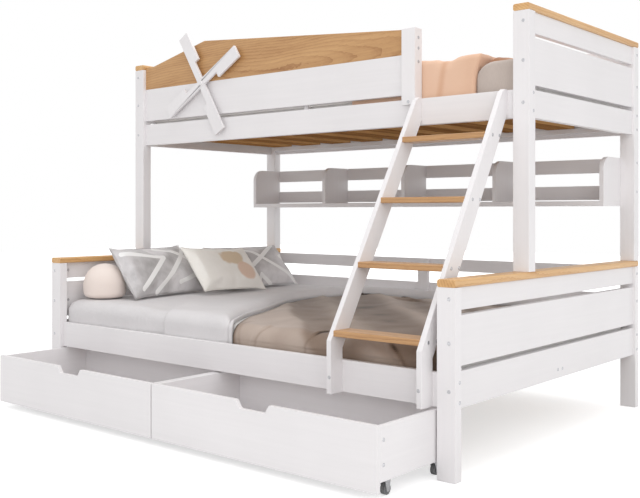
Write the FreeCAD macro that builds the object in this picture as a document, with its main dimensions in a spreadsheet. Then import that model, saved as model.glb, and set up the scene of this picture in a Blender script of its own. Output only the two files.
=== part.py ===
import FreeCAD, Part
import Sketcher
import math
import os

# A twin-over-full bunk bed with an angled ladder, a rear shelf, two rolling drawers
# and a turning windmill on its arched guard panel.
# Frame: +X runs along the bed towards the ladder end, +Y from the ladder side to the
# rear side, +Z up. The origin lies on the floor under the middle of the whole piece
# with its drawers pulled out.

doc = FreeCAD.newDocument("bunk_bed")
sheet = doc.addObject("Spreadsheet::Sheet", "Sizes")

# Driving sizes in millimetres; names that end in share are ratios.
driving_sizes = {
    # whole bed
    "bed_length": 2075,
    "bed_width": 1475,
    "upper_set_back": 479,
    "rear_rail_inset": 8,
    # lower posts and rails
    "lower_post_wide": 64,
    "lower_post_deep": 36,
    "under_bed_clear": 219,
    "lower_rail_tall": 107,
    "lower_rail_thick": 20,
    "lower_guard_tall": 57,
    "lower_guard_gap": 61,
    "batten_wide": 57,
    "batten_thick": 18,
    # end boards
    "end_board_thick": 25,
    "end_board_inset": 9.5,
    "end_board_gap": 16,
    "lower_low_board": 113,
    "lower_middle_board": 154,
    "lower_top_board": 70,
    "upper_low_board": 97,
    "upper_middle_board": 163,
    "upper_top_board": 73,
    # caps on the posts
    "cap_thick": 24,
    "cap_edge_bevel": 4,
    # upper posts and rails
    "upper_post_wide": 60,
    "upper_post_deep": 47,
    "bunk_clear": 527,
    "upper_rail_tall": 99,
    "upper_board_thick": 25,
    "upper_board_recess": 16,
    "upper_guard_tall": 60,
    "upper_guard_gap": 73,
    "upper_guard_top_gap": 3,
    # slats and what carries them
    "cleat_deep": 20,
    "cleat_tall": 21,
    "slat_thick": 18,
    "slat_wide": 118,
    "slat_play": 2,
    "lower_slat_lift": 43,
    "upper_slat_lift": 39,
    "slat_count": 10,
    "beam_wide": 72,
    "beam_tall": 36,
    "leg_wide": 45,
    # guard on the ladder side
    "guard_base_gap": 18,
    "guard_board_tall": 152,
    "entrance_wide": 398,
    "panel_end_tall": 107,
    "panel_peak_tall": 188,
    "panel_far_tall": 95,
    "panel_shoulder": 58,
    "panel_peak_from_end": 409,
    "guard_post_wide": 60,
    "guard_post_lip": 21,
    "front_batten_wide": 18,
    # windmill
    "windmill_from_end": 415,
    "windmill_lift": 144,
    "windmill_reach": 255,
    "windmill_stem": 34,
    "windmill_blade_length": 150,
    "windmill_blade_wide": 60,
    "windmill_arm_thick": 12,
    "windmill_stand_off": 16,
    "windmill_spacer_radius": 15,
    "windmill_pin_radius": 4,
    "windmill_hub_radius": 11,
    "windmill_hub_thick": 6,
    "windmill_turn_angle": 31,
    "pin_play": 0.05,
    "turning_gap": 0.4,
    # ladder
    "ladder_from_end": 89,
    "ladder_wide": 367,
    "ladder_stile_thick": 18,
    "ladder_foot_out": 47,
    "ladder_bend_height": 394,
    "ladder_stile_level": 80,
    "ladder_head_wide": 30,
    "ladder_over_rail": 2,
    "ladder_top_cut": 12,
    "tread_thick": 20,
    "tread_deep": 84,
    "ladder_top_step": 151,
    "first_tread_top": 427,
    "tread_count": 4,
    "tread_edge_radius": 3,
    # rear shelf
    "shelf_drop": 278,
    "shelf_board_thick": 20,
    "shelf_deep": 192,
    "shelf_upright_thick": 18,
    "shelf_upright_tall": 182,
    "shelf_corner_radius": 57,
    "shelf_rail_tall": 60,
    "shelf_rail_thick": 20,
    "shelf_low_rail_lift": 7,
    "shelf_bay_count": 4,
    # drawers
    "drawer_travel": 318,
    "drawer_end_gap": 70,
    "drawer_middle_gap": 5,
    "drawer_deep": 440,
    "drawer_front_thick": 16,
    "drawer_front_base": 24,
    "drawer_front_gap": 2,
    "drawer_side_thick": 15,
    "drawer_side_gap": 5,
    "drawer_bottom_thick": 9,
    "grip_wide": 144,
    "grip_floor_wide": 108,
    "grip_deep": 27,
    "grip_radius": 10,
    # drawer casters
    "caster_tall": 54,
    "caster_from_side": 33,
    "caster_from_face": 87,
    "caster_wheel_radius": 17,
    "caster_wheel_wide": 14,
    "caster_axle_radius": 3,
    "caster_axle_sides": 12,
    "caster_axle_play": 0.2,
    "caster_plate_long": 44,
    "caster_plate_wide": 38,
    "caster_metal": 2,
    "caster_cheek_top": 30,
    "caster_cheek_foot": 12,
    "caster_cheek_drop": 7,
    "caster_side_play": 1,
    # mattresses
    "mattress_end_gap": 3,
    "lower_mattress_thick": 108,
    "upper_mattress_thick": 104,
    "cover_thick": 18,
    "cover_gap": 2,
    "cover_tuck": 25,
    "lower_mattress_back_gap": 20,
    "upper_mattress_back_gap": 4,
    "mattress_edge_radius": 25,
    "soft_gap": 0.3,
    # duvet, spread and throw
    "duvet_thick": 38,
    "duvet_edge_radius": 17,
    "throw_thick": 16,
    "throw_edge_radius": 6,
    "spread_end_gap": 12,
    "spread_back_gap": 8,
    # cushions
    "grey_cushion_wide": 520,
    "grey_cushion_tall": 272,
    "grey_cushion_crown": 92,
    "cream_cushion_wide": 446,
    "cream_cushion_tall": 268,
    "cream_cushion_crown": 84,
    "cushion_edge": 9,
    "cushion_rings": 5,
    "cushion_side_steps": 6,
    "cushion_corner": 42,
    "crown_round_share": 1.25,
    "draw_in_share": 0.07,
    "corner_bow_share": 0.3,
    "crown_turn_share": 0.86,
    "grey_left_from_end": 226,
    "grey_left_from_front": 430,
    "grey_left_lean_angle": 35,
    "grey_left_yaw_angle": 11,
    "grey_right_from_end": 218,
    "grey_right_from_back": 406,
    "grey_right_lean_angle": 41,
    "grey_right_yaw_angle": 3,
    "cream_from_end": 330,
    "cream_from_front": 762,
    "cream_lean_angle": 40,
    "cream_yaw_angle": 4,
    "cream_roll_angle": 3,
    "round_cushion_radius": 100,
    "round_cushion_tall": 162,
    "round_cushion_sides": 24,
    "round_cushion_from_end": 156,
    "round_cushion_from_front": 176,
    # upper bedding
    "upper_throw_length": 564,
    "upper_throw_thick": 84,
    "upper_throw_edge_radius": 30,
    "upper_pillow_length": 188,
    "upper_pillow_thick": 88,
    "upper_pillow_wide": 560,
}

row = 0
for name, value in driving_sizes.items():
    row = row + 1
    sheet.set("A" + str(row), name)
    sheet.set("B" + str(row), str(value))
    sheet.setAlias("B" + str(row), name)
doc.recompute()


class Size:
    # A number from the sheet together with the formula that gives it.
    def __init__(self, value, text):
        self.value = float(value)
        self.text = text

    def __add__(self, other):
        other = as_size(other)
        return Size(self.value + other.value, "(" + self.text + " + " + other.text + ")")

    def __sub__(self, other):
        other = as_size(other)
        return Size(self.value - other.value, "(" + self.text + " - " + other.text + ")")

    def __mul__(self, other):
        other = as_size(other)
        return Size(self.value * other.value, "(" + self.text + " * " + other.text + ")")

    def __truediv__(self, other):
        other = as_size(other)
        return Size(self.value / other.value, "(" + self.text + " / " + other.text + ")")

    def __radd__(self, other):
        return as_size(other) + self

    def __rsub__(self, other):
        return as_size(other) - self

    def __rmul__(self, other):
        return as_size(other) * self

    def __neg__(self):
        return as_size(0) - self


def as_size(number):
    if isinstance(number, Size):
        return number
    return Size(number, repr(number))


class Sizes:
    pass


z = Sizes()
for name in driving_sizes:
    setattr(z, name, Size(float(sheet.get(name)), "Sizes." + name))

nothing = as_size(0)
nodes = []
edgings = []


# Helpers that make document objects

def bind(target, field, size):
    target.setExpression(field, as_size(size).text)


def place(target, x, y, height, turn=None):
    if turn is not None:
        target.Placement = FreeCAD.Placement(FreeCAD.Vector(0, 0, 0), turn)
    bind(target, "Placement.Base.x", x)
    bind(target, "Placement.Base.y", y)
    bind(target, "Placement.Base.z", height)


def board(label, x, y, height, length, width, thick):
    box = doc.addObject("Part::Box", label)
    box.Label = label
    bind(box, "Length", length)
    bind(box, "Width", width)
    bind(box, "Height", thick)
    place(box, x, y, height)
    return box


def rod(label, x, y, height, radius, length, axis):
    # a round bar whose length runs along +Z, or along +X or +Y when axis says so
    bar = doc.addObject("Part::Cylinder", label)
    bar.Label = label
    bind(bar, "Radius", radius)
    bind(bar, "Height", length)
    turns = {
        "x": FreeCAD.Rotation(FreeCAD.Vector(0, 1, 0), 90),
        "y": FreeCAD.Rotation(FreeCAD.Vector(1, 0, 0), -90),
        "z": FreeCAD.Rotation(),
    }
    place(bar, x, y, height, turns[axis])
    return bar


def faceted_rod(label, x, y, height, radius, length, sides):
    # a slim bar of many flat sides along +X
    bar = doc.addObject("Part::Prism", label)
    bar.Label = label
    bar.Polygon = int(sides.value)
    bind(bar, "Circumradius", radius)
    bind(bar, "Height", length)
    place(bar, x, y, height, FreeCAD.Rotation(FreeCAD.Vector(0, 1, 0), 90))
    return bar


def origin_plane(body, role):
    for feature in body.Origin.OriginFeatures:
        if feature.Role == role:
            return feature
    raise RuntimeError("no plane " + role)


def outline(body, label, plane, corners):
    # a closed outline whose every corner is tied to the sheet
    sketch = body.newObject("Sketcher::SketchObject", label)
    sketch.AttachmentSupport = [(origin_plane(body, plane), "")]
    sketch.MapMode = "FlatFace"
    corners = [(as_size(across), as_size(up)) for across, up in corners]
    count = len(corners)
    for index in range(count):
        start = corners[index]
        end = corners[(index + 1) % count]
        sketch.addGeometry(Part.LineSegment(
            FreeCAD.Vector(start[0].value, start[1].value, 0),
            FreeCAD.Vector(end[0].value, end[1].value, 0)))
    for index in range(count):
        sketch.addConstraint(Sketcher.Constraint("Coincident", index, 2, (index + 1) % count, 1))
    for index in range(count):
        for kind, size in (("DistanceX", corners[index][0]), ("DistanceY", corners[index][1])):
            number = sketch.addConstraint(Sketcher.Constraint(kind, -1, 1, index, 1, size.value))
            sketch.renameConstraint(number, kind[-1].lower() + "_" + str(index))
            sketch.setExpression("Constraints[" + str(number) + "]", size.text)
    return sketch


def profile(label, plane, corners, depth, x, y, height, turn=None):
    # an outline padded by depth towards the plane's positive axis
    body = doc.addObject("PartDesign::Body", label)
    body.Label = label
    sketch = outline(body, label + "_outline", plane, corners)
    pad = body.newObject("PartDesign::Pad", label + "_pad")
    pad.Profile = sketch
    bind(pad, "Length", depth)
    pad.Reversed = plane == "XZ_Plane"
    body.Tip = pad
    place(body, x, y, height, turn)
    return body


def turned(label, corners, x, y, height, turn=None):
    # an outline in length and radius, turned about its length axis, which is X
    body = doc.addObject("PartDesign::Body", label)
    body.Label = label
    sketch = outline(body, label + "_outline", "XY_Plane", corners)
    spin = body.newObject("PartDesign::Revolution", label + "_turn")
    spin.Profile = sketch
    spin.ReferenceAxis = (sketch, ["H_Axis"])
    spin.Angle = 360
    body.Tip = spin
    place(body, x, y, height, turn)
    return body


def round_edges(body, radius, chooser):
    edgings.append((body, radius, chooser, "Fillet"))


def bevel_edges(body, size, chooser):
    edgings.append((body, size, chooser, "Chamfer"))


def along(axis):
    # picks straight edges that run along one axis of the body
    def chosen(edge, box):
        first = edge.Vertexes[0].Point
        last = edge.Vertexes[-1].Point
        run = last - first
        shares = {"x": abs(run.x), "y": abs(run.y), "z": abs(run.z)}
        return shares[axis] > 0.99 * run.Length and run.Length > 0
    return chosen


def group(label, pieces):
    whole = doc.addObject("Part::Compound", label)
    whole.Label = label
    whole.Links = pieces
    return whole


def node(target, solids):
    nodes.append((target, solids))


# Main lines of the bed

left = -(z.bed_length / 2)
right = z.bed_length / 2
lower_rail_recess = z.lower_post_deep - z.lower_rail_thick
front = (z.drawer_travel - lower_rail_recess - z.bed_width) / 2
back = front + z.bed_width
rear_rail_back = back - z.rear_rail_inset
upper_front = front + z.upper_set_back
lower_post_tall = (z.under_bed_clear + z.lower_low_board + z.lower_middle_board
                   + z.lower_top_board + z.end_board_gap * 2)
lower_cap_top = lower_post_tall + z.cap_thick
lower_slat_base = z.under_bed_clear + z.lower_slat_lift
upper_rail_base = lower_cap_top + z.bunk_clear
upper_slat_base = upper_rail_base + z.upper_slat_lift
upper_post_tall = (z.bunk_clear + z.upper_low_board + z.upper_middle_board
                   + z.upper_top_board + z.end_board_gap * 2)
upper_post_top = lower_cap_top + upper_post_tall

ends = (("left", 0), ("right", 1))


def end_x(side, inset, thick):
    # left edge of a piece that lies inset from the outer face of one end
    if side == 0:
        return left + inset
    return right - inset - thick


# Lower posts and their caps

lower_posts = []
for end, side in ends:
    for row_name, y in (("front", front), ("rear", back - z.lower_post_deep)):
        x = end_x(side, nothing, z.lower_post_wide)
        lower_posts.append(board(
            "lower_post_" + end + "_" + row_name, x, y, nothing,
            z.lower_post_wide, z.lower_post_deep, lower_post_tall))
node(group("lower_posts", lower_posts), 4)

lower_caps = []
for end, side in ends:
    x = end_x(side, nothing, z.lower_post_wide)
    cap = profile(
        "lower_cap_" + end, "XY_Plane",
        [(nothing, nothing), (z.lower_post_wide, nothing),
         (z.lower_post_wide, z.bed_width), (nothing, z.bed_width)],
        z.cap_thick, x, front, lower_post_tall)
    bevel_edges(cap, z.cap_edge_bevel, along("y"))
    lower_caps.append(cap)
node(group("lower_end_caps", lower_caps), 2)


# Boards across the two ends, lower and upper

lower_board_span = z.bed_width - z.lower_post_deep * 2
upper_board_span = z.bed_width - z.upper_set_back - z.upper_post_deep * 2
stacks = (
    ("lower", z.under_bed_clear, (z.lower_low_board, z.lower_middle_board, z.lower_top_board),
     front + z.lower_post_deep, lower_board_span),
    ("upper", upper_rail_base, (z.upper_low_board, z.upper_middle_board, z.upper_top_board),
     upper_front + z.upper_post_deep, upper_board_span),
)
for level, base, heights, y, span in stacks:
    for end, side in ends:
        boards = []
        height = base
        for index, tall in enumerate(heights):
            x = end_x(side, z.end_board_inset, z.end_board_thick)
            boards.append(board(
                level + "_end_board_" + end + "_" + str(index + 1),
                x, y, height, z.end_board_thick, span, tall))
            height = height + tall + z.end_board_gap
        node(group(level + "_end_boards_" + end, boards), 3)


# Lower side rails, rear guard rails and their batten

lower_rail_x = left + z.lower_post_wide
lower_rail_length = z.bed_length - z.lower_post_wide * 2
lower_front_rail_y = front + lower_rail_recess
lower_rear_rail_y = rear_rail_back - z.lower_rail_thick
lower_side_rails = []
for name, y in (("front", lower_front_rail_y), ("rear", lower_rear_rail_y)):
    lower_side_rails.append(board(
        "lower_side_rail_" + name, lower_rail_x, y, z.under_bed_clear,
        lower_rail_length, z.lower_rail_thick, z.lower_rail_tall))
node(group("lower_side_rails", lower_side_rails), 2)

lower_guards = []
height = lower_post_tall - z.lower_guard_tall
for index in range(2):
    lower_guards.append(board(
        "lower_guard_rail_" + str(index + 1), lower_rail_x, lower_rear_rail_y, height,
        lower_rail_length, z.lower_rail_thick, z.lower_guard_tall))
    height = height - z.lower_guard_gap - z.lower_guard_tall
node(group("lower_rear_guard_rails", lower_guards), 2)

lower_slat_top = lower_slat_base + z.slat_thick
batten_base = lower_slat_top + z.slat_play
node(board("lower_guard_batten", -(z.batten_wide / 2), lower_rear_rail_y - z.batten_thick,
           batten_base, z.batten_wide, z.batten_thick, lower_post_tall - batten_base), 1)


# Upper posts and their caps

upper_posts = []
for end, side in ends:
    for row_name, y in (("front", upper_front), ("rear", back - z.upper_post_deep)):
        x = end_x(side, nothing, z.upper_post_wide)
        upper_posts.append(board(
            "upper_post_" + end + "_" + row_name, x, y, lower_cap_top,
            z.upper_post_wide, z.upper_post_deep, upper_post_tall))
node(group("upper_posts", upper_posts), 4)

upper_caps = []
upper_cap_wide = z.upper_post_wide
upper_cap_span = z.bed_width - z.upper_set_back
for end, side in ends:
    x = end_x(side, nothing, upper_cap_wide)
    cap = profile(
        "upper_cap_" + end, "XY_Plane",
        [(nothing, nothing), (upper_cap_wide, nothing),
         (upper_cap_wide, upper_cap_span), (nothing, upper_cap_span)],
        z.cap_thick, x, upper_front, upper_post_top)
    bevel_edges(cap, z.cap_edge_bevel, along("y"))
    upper_caps.append(cap)
node(group("upper_end_caps", upper_caps), 2)


# Upper side rails and rear guard rails

upper_rail_x = left + z.upper_post_wide
upper_rail_length = z.bed_length - z.upper_post_wide * 2
upper_front_rail_y = upper_front + z.upper_board_recess
upper_rear_rail_y = rear_rail_back - z.upper_board_thick
upper_rail_top = upper_rail_base + z.upper_rail_tall
node(board("upper_front_side_rail", upper_rail_x, upper_front_rail_y, upper_rail_base,
           upper_rail_length, z.upper_board_thick, z.upper_rail_tall), 1)
node(board("upper_rear_side_rail", upper_rail_x, upper_rear_rail_y, upper_rail_base,
           upper_rail_length, z.upper_board_thick, z.upper_rail_tall), 1)

upper_guards = []
height = upper_post_top - z.upper_guard_top_gap - z.upper_guard_tall
for index in range(2):
    upper_guards.append(board(
        "upper_guard_rail_" + str(index + 1), upper_rail_x,
        rear_rail_back - z.lower_rail_thick, height,
        upper_rail_length, z.lower_rail_thick, z.upper_guard_tall))
    height = height - z.upper_guard_gap - z.upper_guard_tall
node(group("upper_rear_guard_rails", upper_guards), 2)


# Cleats and slats of both beds

cleats = []
for level, base, x, length, front_y, rear_y in (
        ("lower", lower_slat_base - z.cleat_tall, lower_rail_x, lower_rail_length,
         lower_front_rail_y + z.lower_rail_thick, lower_rear_rail_y - z.cleat_deep),
        ("upper", upper_slat_base - z.cleat_tall, upper_rail_x, upper_rail_length,
         upper_front_rail_y + z.upper_board_thick, upper_rear_rail_y - z.cleat_deep)):
    for row_name, y in (("front", front_y), ("rear", rear_y)):
        cleats.append(board("cleat_" + level + "_" + row_name, x, y, base,
                            length, z.cleat_deep, z.cleat_tall))
node(group("slat_cleats", cleats), 4)


def slats(label, base, x, length, front_y, rear_y):
    pieces = []
    count = int(z.slat_count.value)
    pitch = (length - z.slat_wide) / (z.slat_count - 1)
    for index in range(count):
        pieces.append(board(
            label + "_" + str(index + 1), x + pitch * index, front_y + z.slat_play, base,
            z.slat_wide, rear_y - front_y - z.slat_play * 2, z.slat_thick))
    node(group(label, pieces), count)


slats("lower_slats", lower_slat_base, lower_rail_x, lower_rail_length,
      lower_front_rail_y + z.lower_rail_thick, lower_rear_rail_y)
slats("upper_slats", upper_slat_base, upper_rail_x, upper_rail_length,
      upper_front_rail_y + z.upper_board_thick, upper_rear_rail_y)


# Middle beam of the lower bed and its legs

beam_inset = z.end_board_inset + z.end_board_thick
beam_middle = front + z.lower_post_deep + lower_board_span / 2
beam_base = lower_slat_base - z.beam_tall
node(board("middle_beam", left + beam_inset, beam_middle - z.beam_wide / 2, beam_base,
           z.bed_length - beam_inset * 2, z.beam_wide, z.beam_tall), 1)
legs = []
for name, way in (("left", -1), ("right", 1)):
    middle = z.bed_length / 6 * way
    legs.append(board("beam_leg_" + name, middle - z.leg_wide / 2,
                      beam_middle - z.leg_wide / 2, nothing,
                      z.leg_wide, z.leg_wide, beam_base))
node(group("beam_legs", legs), 2)


# Guard on the ladder side: plain board, arched panel, post and batten

guard_x = upper_rail_x
guard_length = (z.bed_length - z.upper_post_wide * 2 - z.guard_post_wide
                - z.entrance_wide)
guard_base = upper_rail_top + z.guard_base_gap
panel_base = guard_base + z.guard_board_tall
node(board("guard_board", guard_x, upper_front_rail_y, guard_base,
           guard_length, z.upper_board_thick, z.guard_board_tall), 1)

node(profile(
    "arched_guard_panel", "XZ_Plane",
    [(nothing, nothing), (guard_length, nothing), (guard_length, z.panel_far_tall),
     (z.panel_peak_from_end, z.panel_peak_tall), (z.panel_shoulder, z.panel_end_tall),
     (nothing, z.panel_end_tall)],
    z.upper_board_thick, guard_x, upper_front_rail_y, panel_base), 1)

guard_post_x = guard_x + guard_length
guard_post_base = upper_rail_top - z.guard_post_lip
guard_post_tall = upper_post_top - guard_post_base
node(profile(
    "guard_post", "YZ_Plane",
    [(nothing, nothing), (z.upper_board_recess, nothing),
     (z.upper_board_recess, z.guard_post_lip), (z.upper_post_deep, z.guard_post_lip),
     (z.upper_post_deep, guard_post_tall), (nothing, guard_post_tall)],
    z.guard_post_wide, guard_post_x, upper_front, guard_post_base), 1)

front_batten_share = 0.657
batten_y = upper_front_rail_y + z.upper_board_thick
front_batten_base = upper_slat_base + z.slat_thick + z.slat_play
front_batten_top = panel_base + z.panel_far_tall / 2
node(board("front_guard_batten", guard_x + guard_length * front_batten_share, batten_y,
           front_batten_base, z.front_batten_wide, z.batten_thick,
           front_batten_top - front_batten_base), 1)


# Windmill on its pin: two arms half-lapped into one plane

windmill_x = guard_x + z.windmill_from_end
windmill_height = guard_base + z.windmill_lift
arms_front = upper_front_rail_y - z.windmill_stand_off - z.windmill_arm_thick
lap_depth = z.windmill_arm_thick / 2
half_stem = z.windmill_stem / 2
blade_edge = z.windmill_blade_wide - half_stem
blade_foot = z.windmill_reach - z.windmill_blade_length
arm_outline = [
    (blade_foot, -half_stem), (blade_foot, -blade_edge),
    (z.windmill_reach, -blade_edge), (z.windmill_reach, half_stem),
    (-blade_foot, half_stem), (-blade_foot, blade_edge),
    (-z.windmill_reach, blade_edge), (-z.windmill_reach, -half_stem)]
lap_outline = [
    (-half_stem, -half_stem), (half_stem, -half_stem),
    (half_stem, half_stem), (-half_stem, half_stem)]
for label, turn_extra, lap_start in (
        ("windmill_rear_arm", 90, arms_front),
        ("windmill_front_arm", 0, arms_front + lap_depth)):
    turn = FreeCAD.Rotation(FreeCAD.Vector(0, -1, 0), z.windmill_turn_angle.value + turn_extra)
    arm = profile(label + "_blank", "XZ_Plane", arm_outline, z.windmill_arm_thick,
                  windmill_x, arms_front, windmill_height, turn)
    lap = profile(label + "_lap", "XZ_Plane", lap_outline, lap_depth,
                  windmill_x, lap_start, windmill_height, turn)
    bore = rod(label + "_bore", windmill_x, arms_front, windmill_height,
               z.windmill_pin_radius + z.pin_play, z.windmill_arm_thick, "y")
    tool = doc.addObject("Part::MultiFuse", label + "_tool")
    tool.Shapes = [lap, bore]
    cut = doc.addObject("Part::Cut", label)
    cut.Label = label
    cut.Base = arm
    cut.Tool = tool
    node(cut, 1)

node(turned(
    "windmill_hub",
    [(nothing, nothing), (z.windmill_hub_thick, nothing),
     (z.windmill_hub_thick, z.windmill_hub_radius), (nothing, z.windmill_hub_radius)],
    windmill_x, arms_front, windmill_height,
    FreeCAD.Rotation(FreeCAD.Vector(0, 0, 1), -90)), 1)
spacer_length = z.windmill_stand_off - z.turning_gap
pin_length = z.windmill_stand_off + z.windmill_arm_thick - z.turning_gap
node(turned(
    "windmill_pin",
    [(nothing, nothing), (pin_length, nothing), (pin_length, z.windmill_pin_radius),
     (spacer_length, z.windmill_pin_radius), (spacer_length, z.windmill_spacer_radius),
     (nothing, z.windmill_spacer_radius)],
    windmill_x, upper_front_rail_y, windmill_height,
    FreeCAD.Rotation(FreeCAD.Vector(0, 0, 1), -90)), 1)


# Ladder: two bent stiles with plumb heads and level treads between them

ladder_right = right - z.ladder_from_end
ladder_left = ladder_right - z.ladder_wide
foot_y = front - z.ladder_foot_out
stile_top = upper_rail_top + z.ladder_over_rail
foot_depth = z.ladder_foot_out + lower_rail_recess
head_depth = z.ladder_foot_out + z.upper_set_back + z.upper_board_recess
base = z.under_bed_clear
lean_share = (head_depth - z.ladder_head_wide) / (stile_top - z.ladder_bend_height)
tread_rise = (upper_rail_top - z.ladder_top_step - z.first_tread_top) / (z.tread_count - 1)


def lean(height):
    # how far back the sloping front edge lies at a height above the floor
    return (height - z.ladder_bend_height) * lean_share


rear_bend = z.ladder_bend_height - (z.ladder_stile_level - foot_depth) / lean_share
plumb_foot = (z.ladder_bend_height
              + (head_depth - z.ladder_stile_level) / lean_share)
stile_outline = [
    (nothing, nothing),
    (foot_depth, nothing),
    (foot_depth, rear_bend - base),
    (head_depth, plumb_foot - base),
    (head_depth, stile_top - base),
    (lean(stile_top) + z.ladder_top_cut, stile_top - base),
    (lean(stile_top - z.ladder_top_cut), stile_top - z.ladder_top_cut - base),
    (nothing, z.ladder_bend_height - base)]
stiles = []
for name, x in (("left", ladder_left), ("right", ladder_right - z.ladder_stile_thick)):
    stiles.append(profile("ladder_stile_" + name, "YZ_Plane", stile_outline,
                          z.ladder_stile_thick, x, foot_y, base))
node(group("ladder_stiles", stiles), 2)


def nosing(edge, box):
    # the two long edges at the front of a tread
    return along("x")(edge, box) and edge.BoundBox.YMax < box.YMin + box.YLength / 4


treads = []
tread_length = z.ladder_wide - z.ladder_stile_thick * 2
for index in range(int(z.tread_count.value)):
    top = z.first_tread_top + tread_rise * index
    tread = profile(
        "ladder_tread_" + str(index + 1), "YZ_Plane",
        [(nothing, nothing), (z.tread_deep, nothing),
         (z.tread_deep, z.tread_thick), (nothing, z.tread_thick)],
        tread_length, ladder_left + z.ladder_stile_thick,
        foot_y + lean(top - z.tread_thick / 2), top - z.tread_thick)
    round_edges(tread, z.tread_edge_radius, nosing)
    treads.append(tread)
node(group("ladder_treads", treads), int(z.tread_count.value))


# Rear shelf: board, uprights with rounded fronts, two back rails

shelf_back = rear_rail_back - z.shelf_rail_thick
shelf_front = shelf_back - z.shelf_deep
shelf_top = upper_rail_base - z.shelf_drop
node(board("shelf_board", upper_rail_x, shelf_front, shelf_top - z.shelf_board_thick,
           upper_rail_length, z.shelf_deep, z.shelf_board_thick), 1)
uprights = []
bay_pitch = (upper_rail_length - z.shelf_upright_thick) / z.shelf_bay_count
for index in range(int(z.shelf_bay_count.value) + 1):
    upright = profile(
        "shelf_upright_" + str(index + 1), "YZ_Plane",
        [(nothing, nothing), (z.shelf_deep, nothing),
         (z.shelf_deep, z.shelf_upright_tall), (nothing, z.shelf_upright_tall)],
        z.shelf_upright_thick, upper_rail_x + bay_pitch * index, shelf_front, shelf_top)


    def top_front(edge, box, pick=along("x")):
        middle = edge.BoundBox
        return pick(edge, box) and middle.ZMin > box.ZMax / 2 and middle.YMin < box.YMax / 2
    round_edges(upright, z.shelf_corner_radius, top_front)
    uprights.append(upright)
node(group("shelf_uprights", uprights), int(z.shelf_bay_count.value) + 1)
shelf_rails = []
for name, height in (
        ("low", shelf_top + z.shelf_low_rail_lift),
        ("high", shelf_top + z.shelf_upright_tall - z.shelf_rail_tall)):
    shelf_rails.append(board("shelf_rail_" + name, upper_rail_x, shelf_back, height,
                             upper_rail_length, z.shelf_rail_thick, z.shelf_rail_tall))
node(group("shelf_back_rails", shelf_rails), 2)


# Drawers, pulled out by their travel, each on four casters

drawer_face = front + lower_rail_recess - z.drawer_travel
drawer_front_top = z.under_bed_clear - z.drawer_front_gap
drawer_side_top = z.under_bed_clear - z.drawer_side_gap
drawer_wide = (z.bed_length - z.drawer_end_gap * 2 - z.drawer_middle_gap) / 2
front_tall = drawer_front_top - z.drawer_front_base
box_back = drawer_face + z.drawer_deep
side_y = drawer_face + z.drawer_front_thick
side_tall = drawer_side_top - z.caster_tall
side_length = z.drawer_deep - z.drawer_front_thick
wheel_height = z.caster_wheel_radius


def grip_edges(edge, box):
    # the two bends at the floor of the hand grip
    middle = edge.BoundBox
    inside = middle.XMin > box.XMin + box.XLength / 4 and middle.XMax < box.XMax - box.XLength / 4
    return along("y")(edge, box) and inside and middle.ZMax < box.ZMax - z.grip_deep.value / 2


def caster(prefix, x, y):
    half_gap = z.caster_wheel_wide / 2 + z.caster_side_play
    cheek_top = z.caster_tall - z.caster_metal
    cheek_foot = wheel_height - z.caster_cheek_drop
    plate = board(prefix + "_plate", x - z.caster_plate_wide / 2, y - z.caster_plate_long / 2,
                  cheek_top, z.caster_plate_wide, z.caster_plate_long, z.caster_metal)
    pieces = [plate]
    for name, cheek_x in (("left", x - half_gap - z.caster_metal), ("right", x + half_gap)):
        pieces.append(profile(
            prefix + "_cheek_" + name, "YZ_Plane",
            [(-(z.caster_cheek_foot / 2), cheek_foot), (z.caster_cheek_foot / 2, cheek_foot),
             (z.caster_cheek_top / 2, cheek_top), (-(z.caster_cheek_top / 2), cheek_top)],
            z.caster_metal, cheek_x, y, nothing))
    pieces.append(faceted_rod(
        prefix + "_axle", x - half_gap - z.caster_metal, y, wheel_height,
        z.caster_axle_radius, (half_gap + z.caster_metal) * 2, z.caster_axle_sides))
    fork = doc.addObject("Part::MultiFuse", prefix + "_fork")
    fork.Shapes = pieces
    fork.Refine = True
    return fork


def caster_wheel(label, x, y):
    half = z.caster_wheel_wide / 2
    disc = rod(label + "_disc", x - half, y, wheel_height, z.caster_wheel_radius,
               z.caster_wheel_wide, "x")
    bore = faceted_rod(label + "_bore", x - half, y, wheel_height,
                       z.caster_axle_radius + z.caster_axle_play, z.caster_wheel_wide,
                       z.caster_axle_sides)
    wheel = doc.addObject("Part::Cut", label)
    wheel.Label = label
    wheel.Base = disc
    wheel.Tool = bore
    node(wheel, 1)


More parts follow.
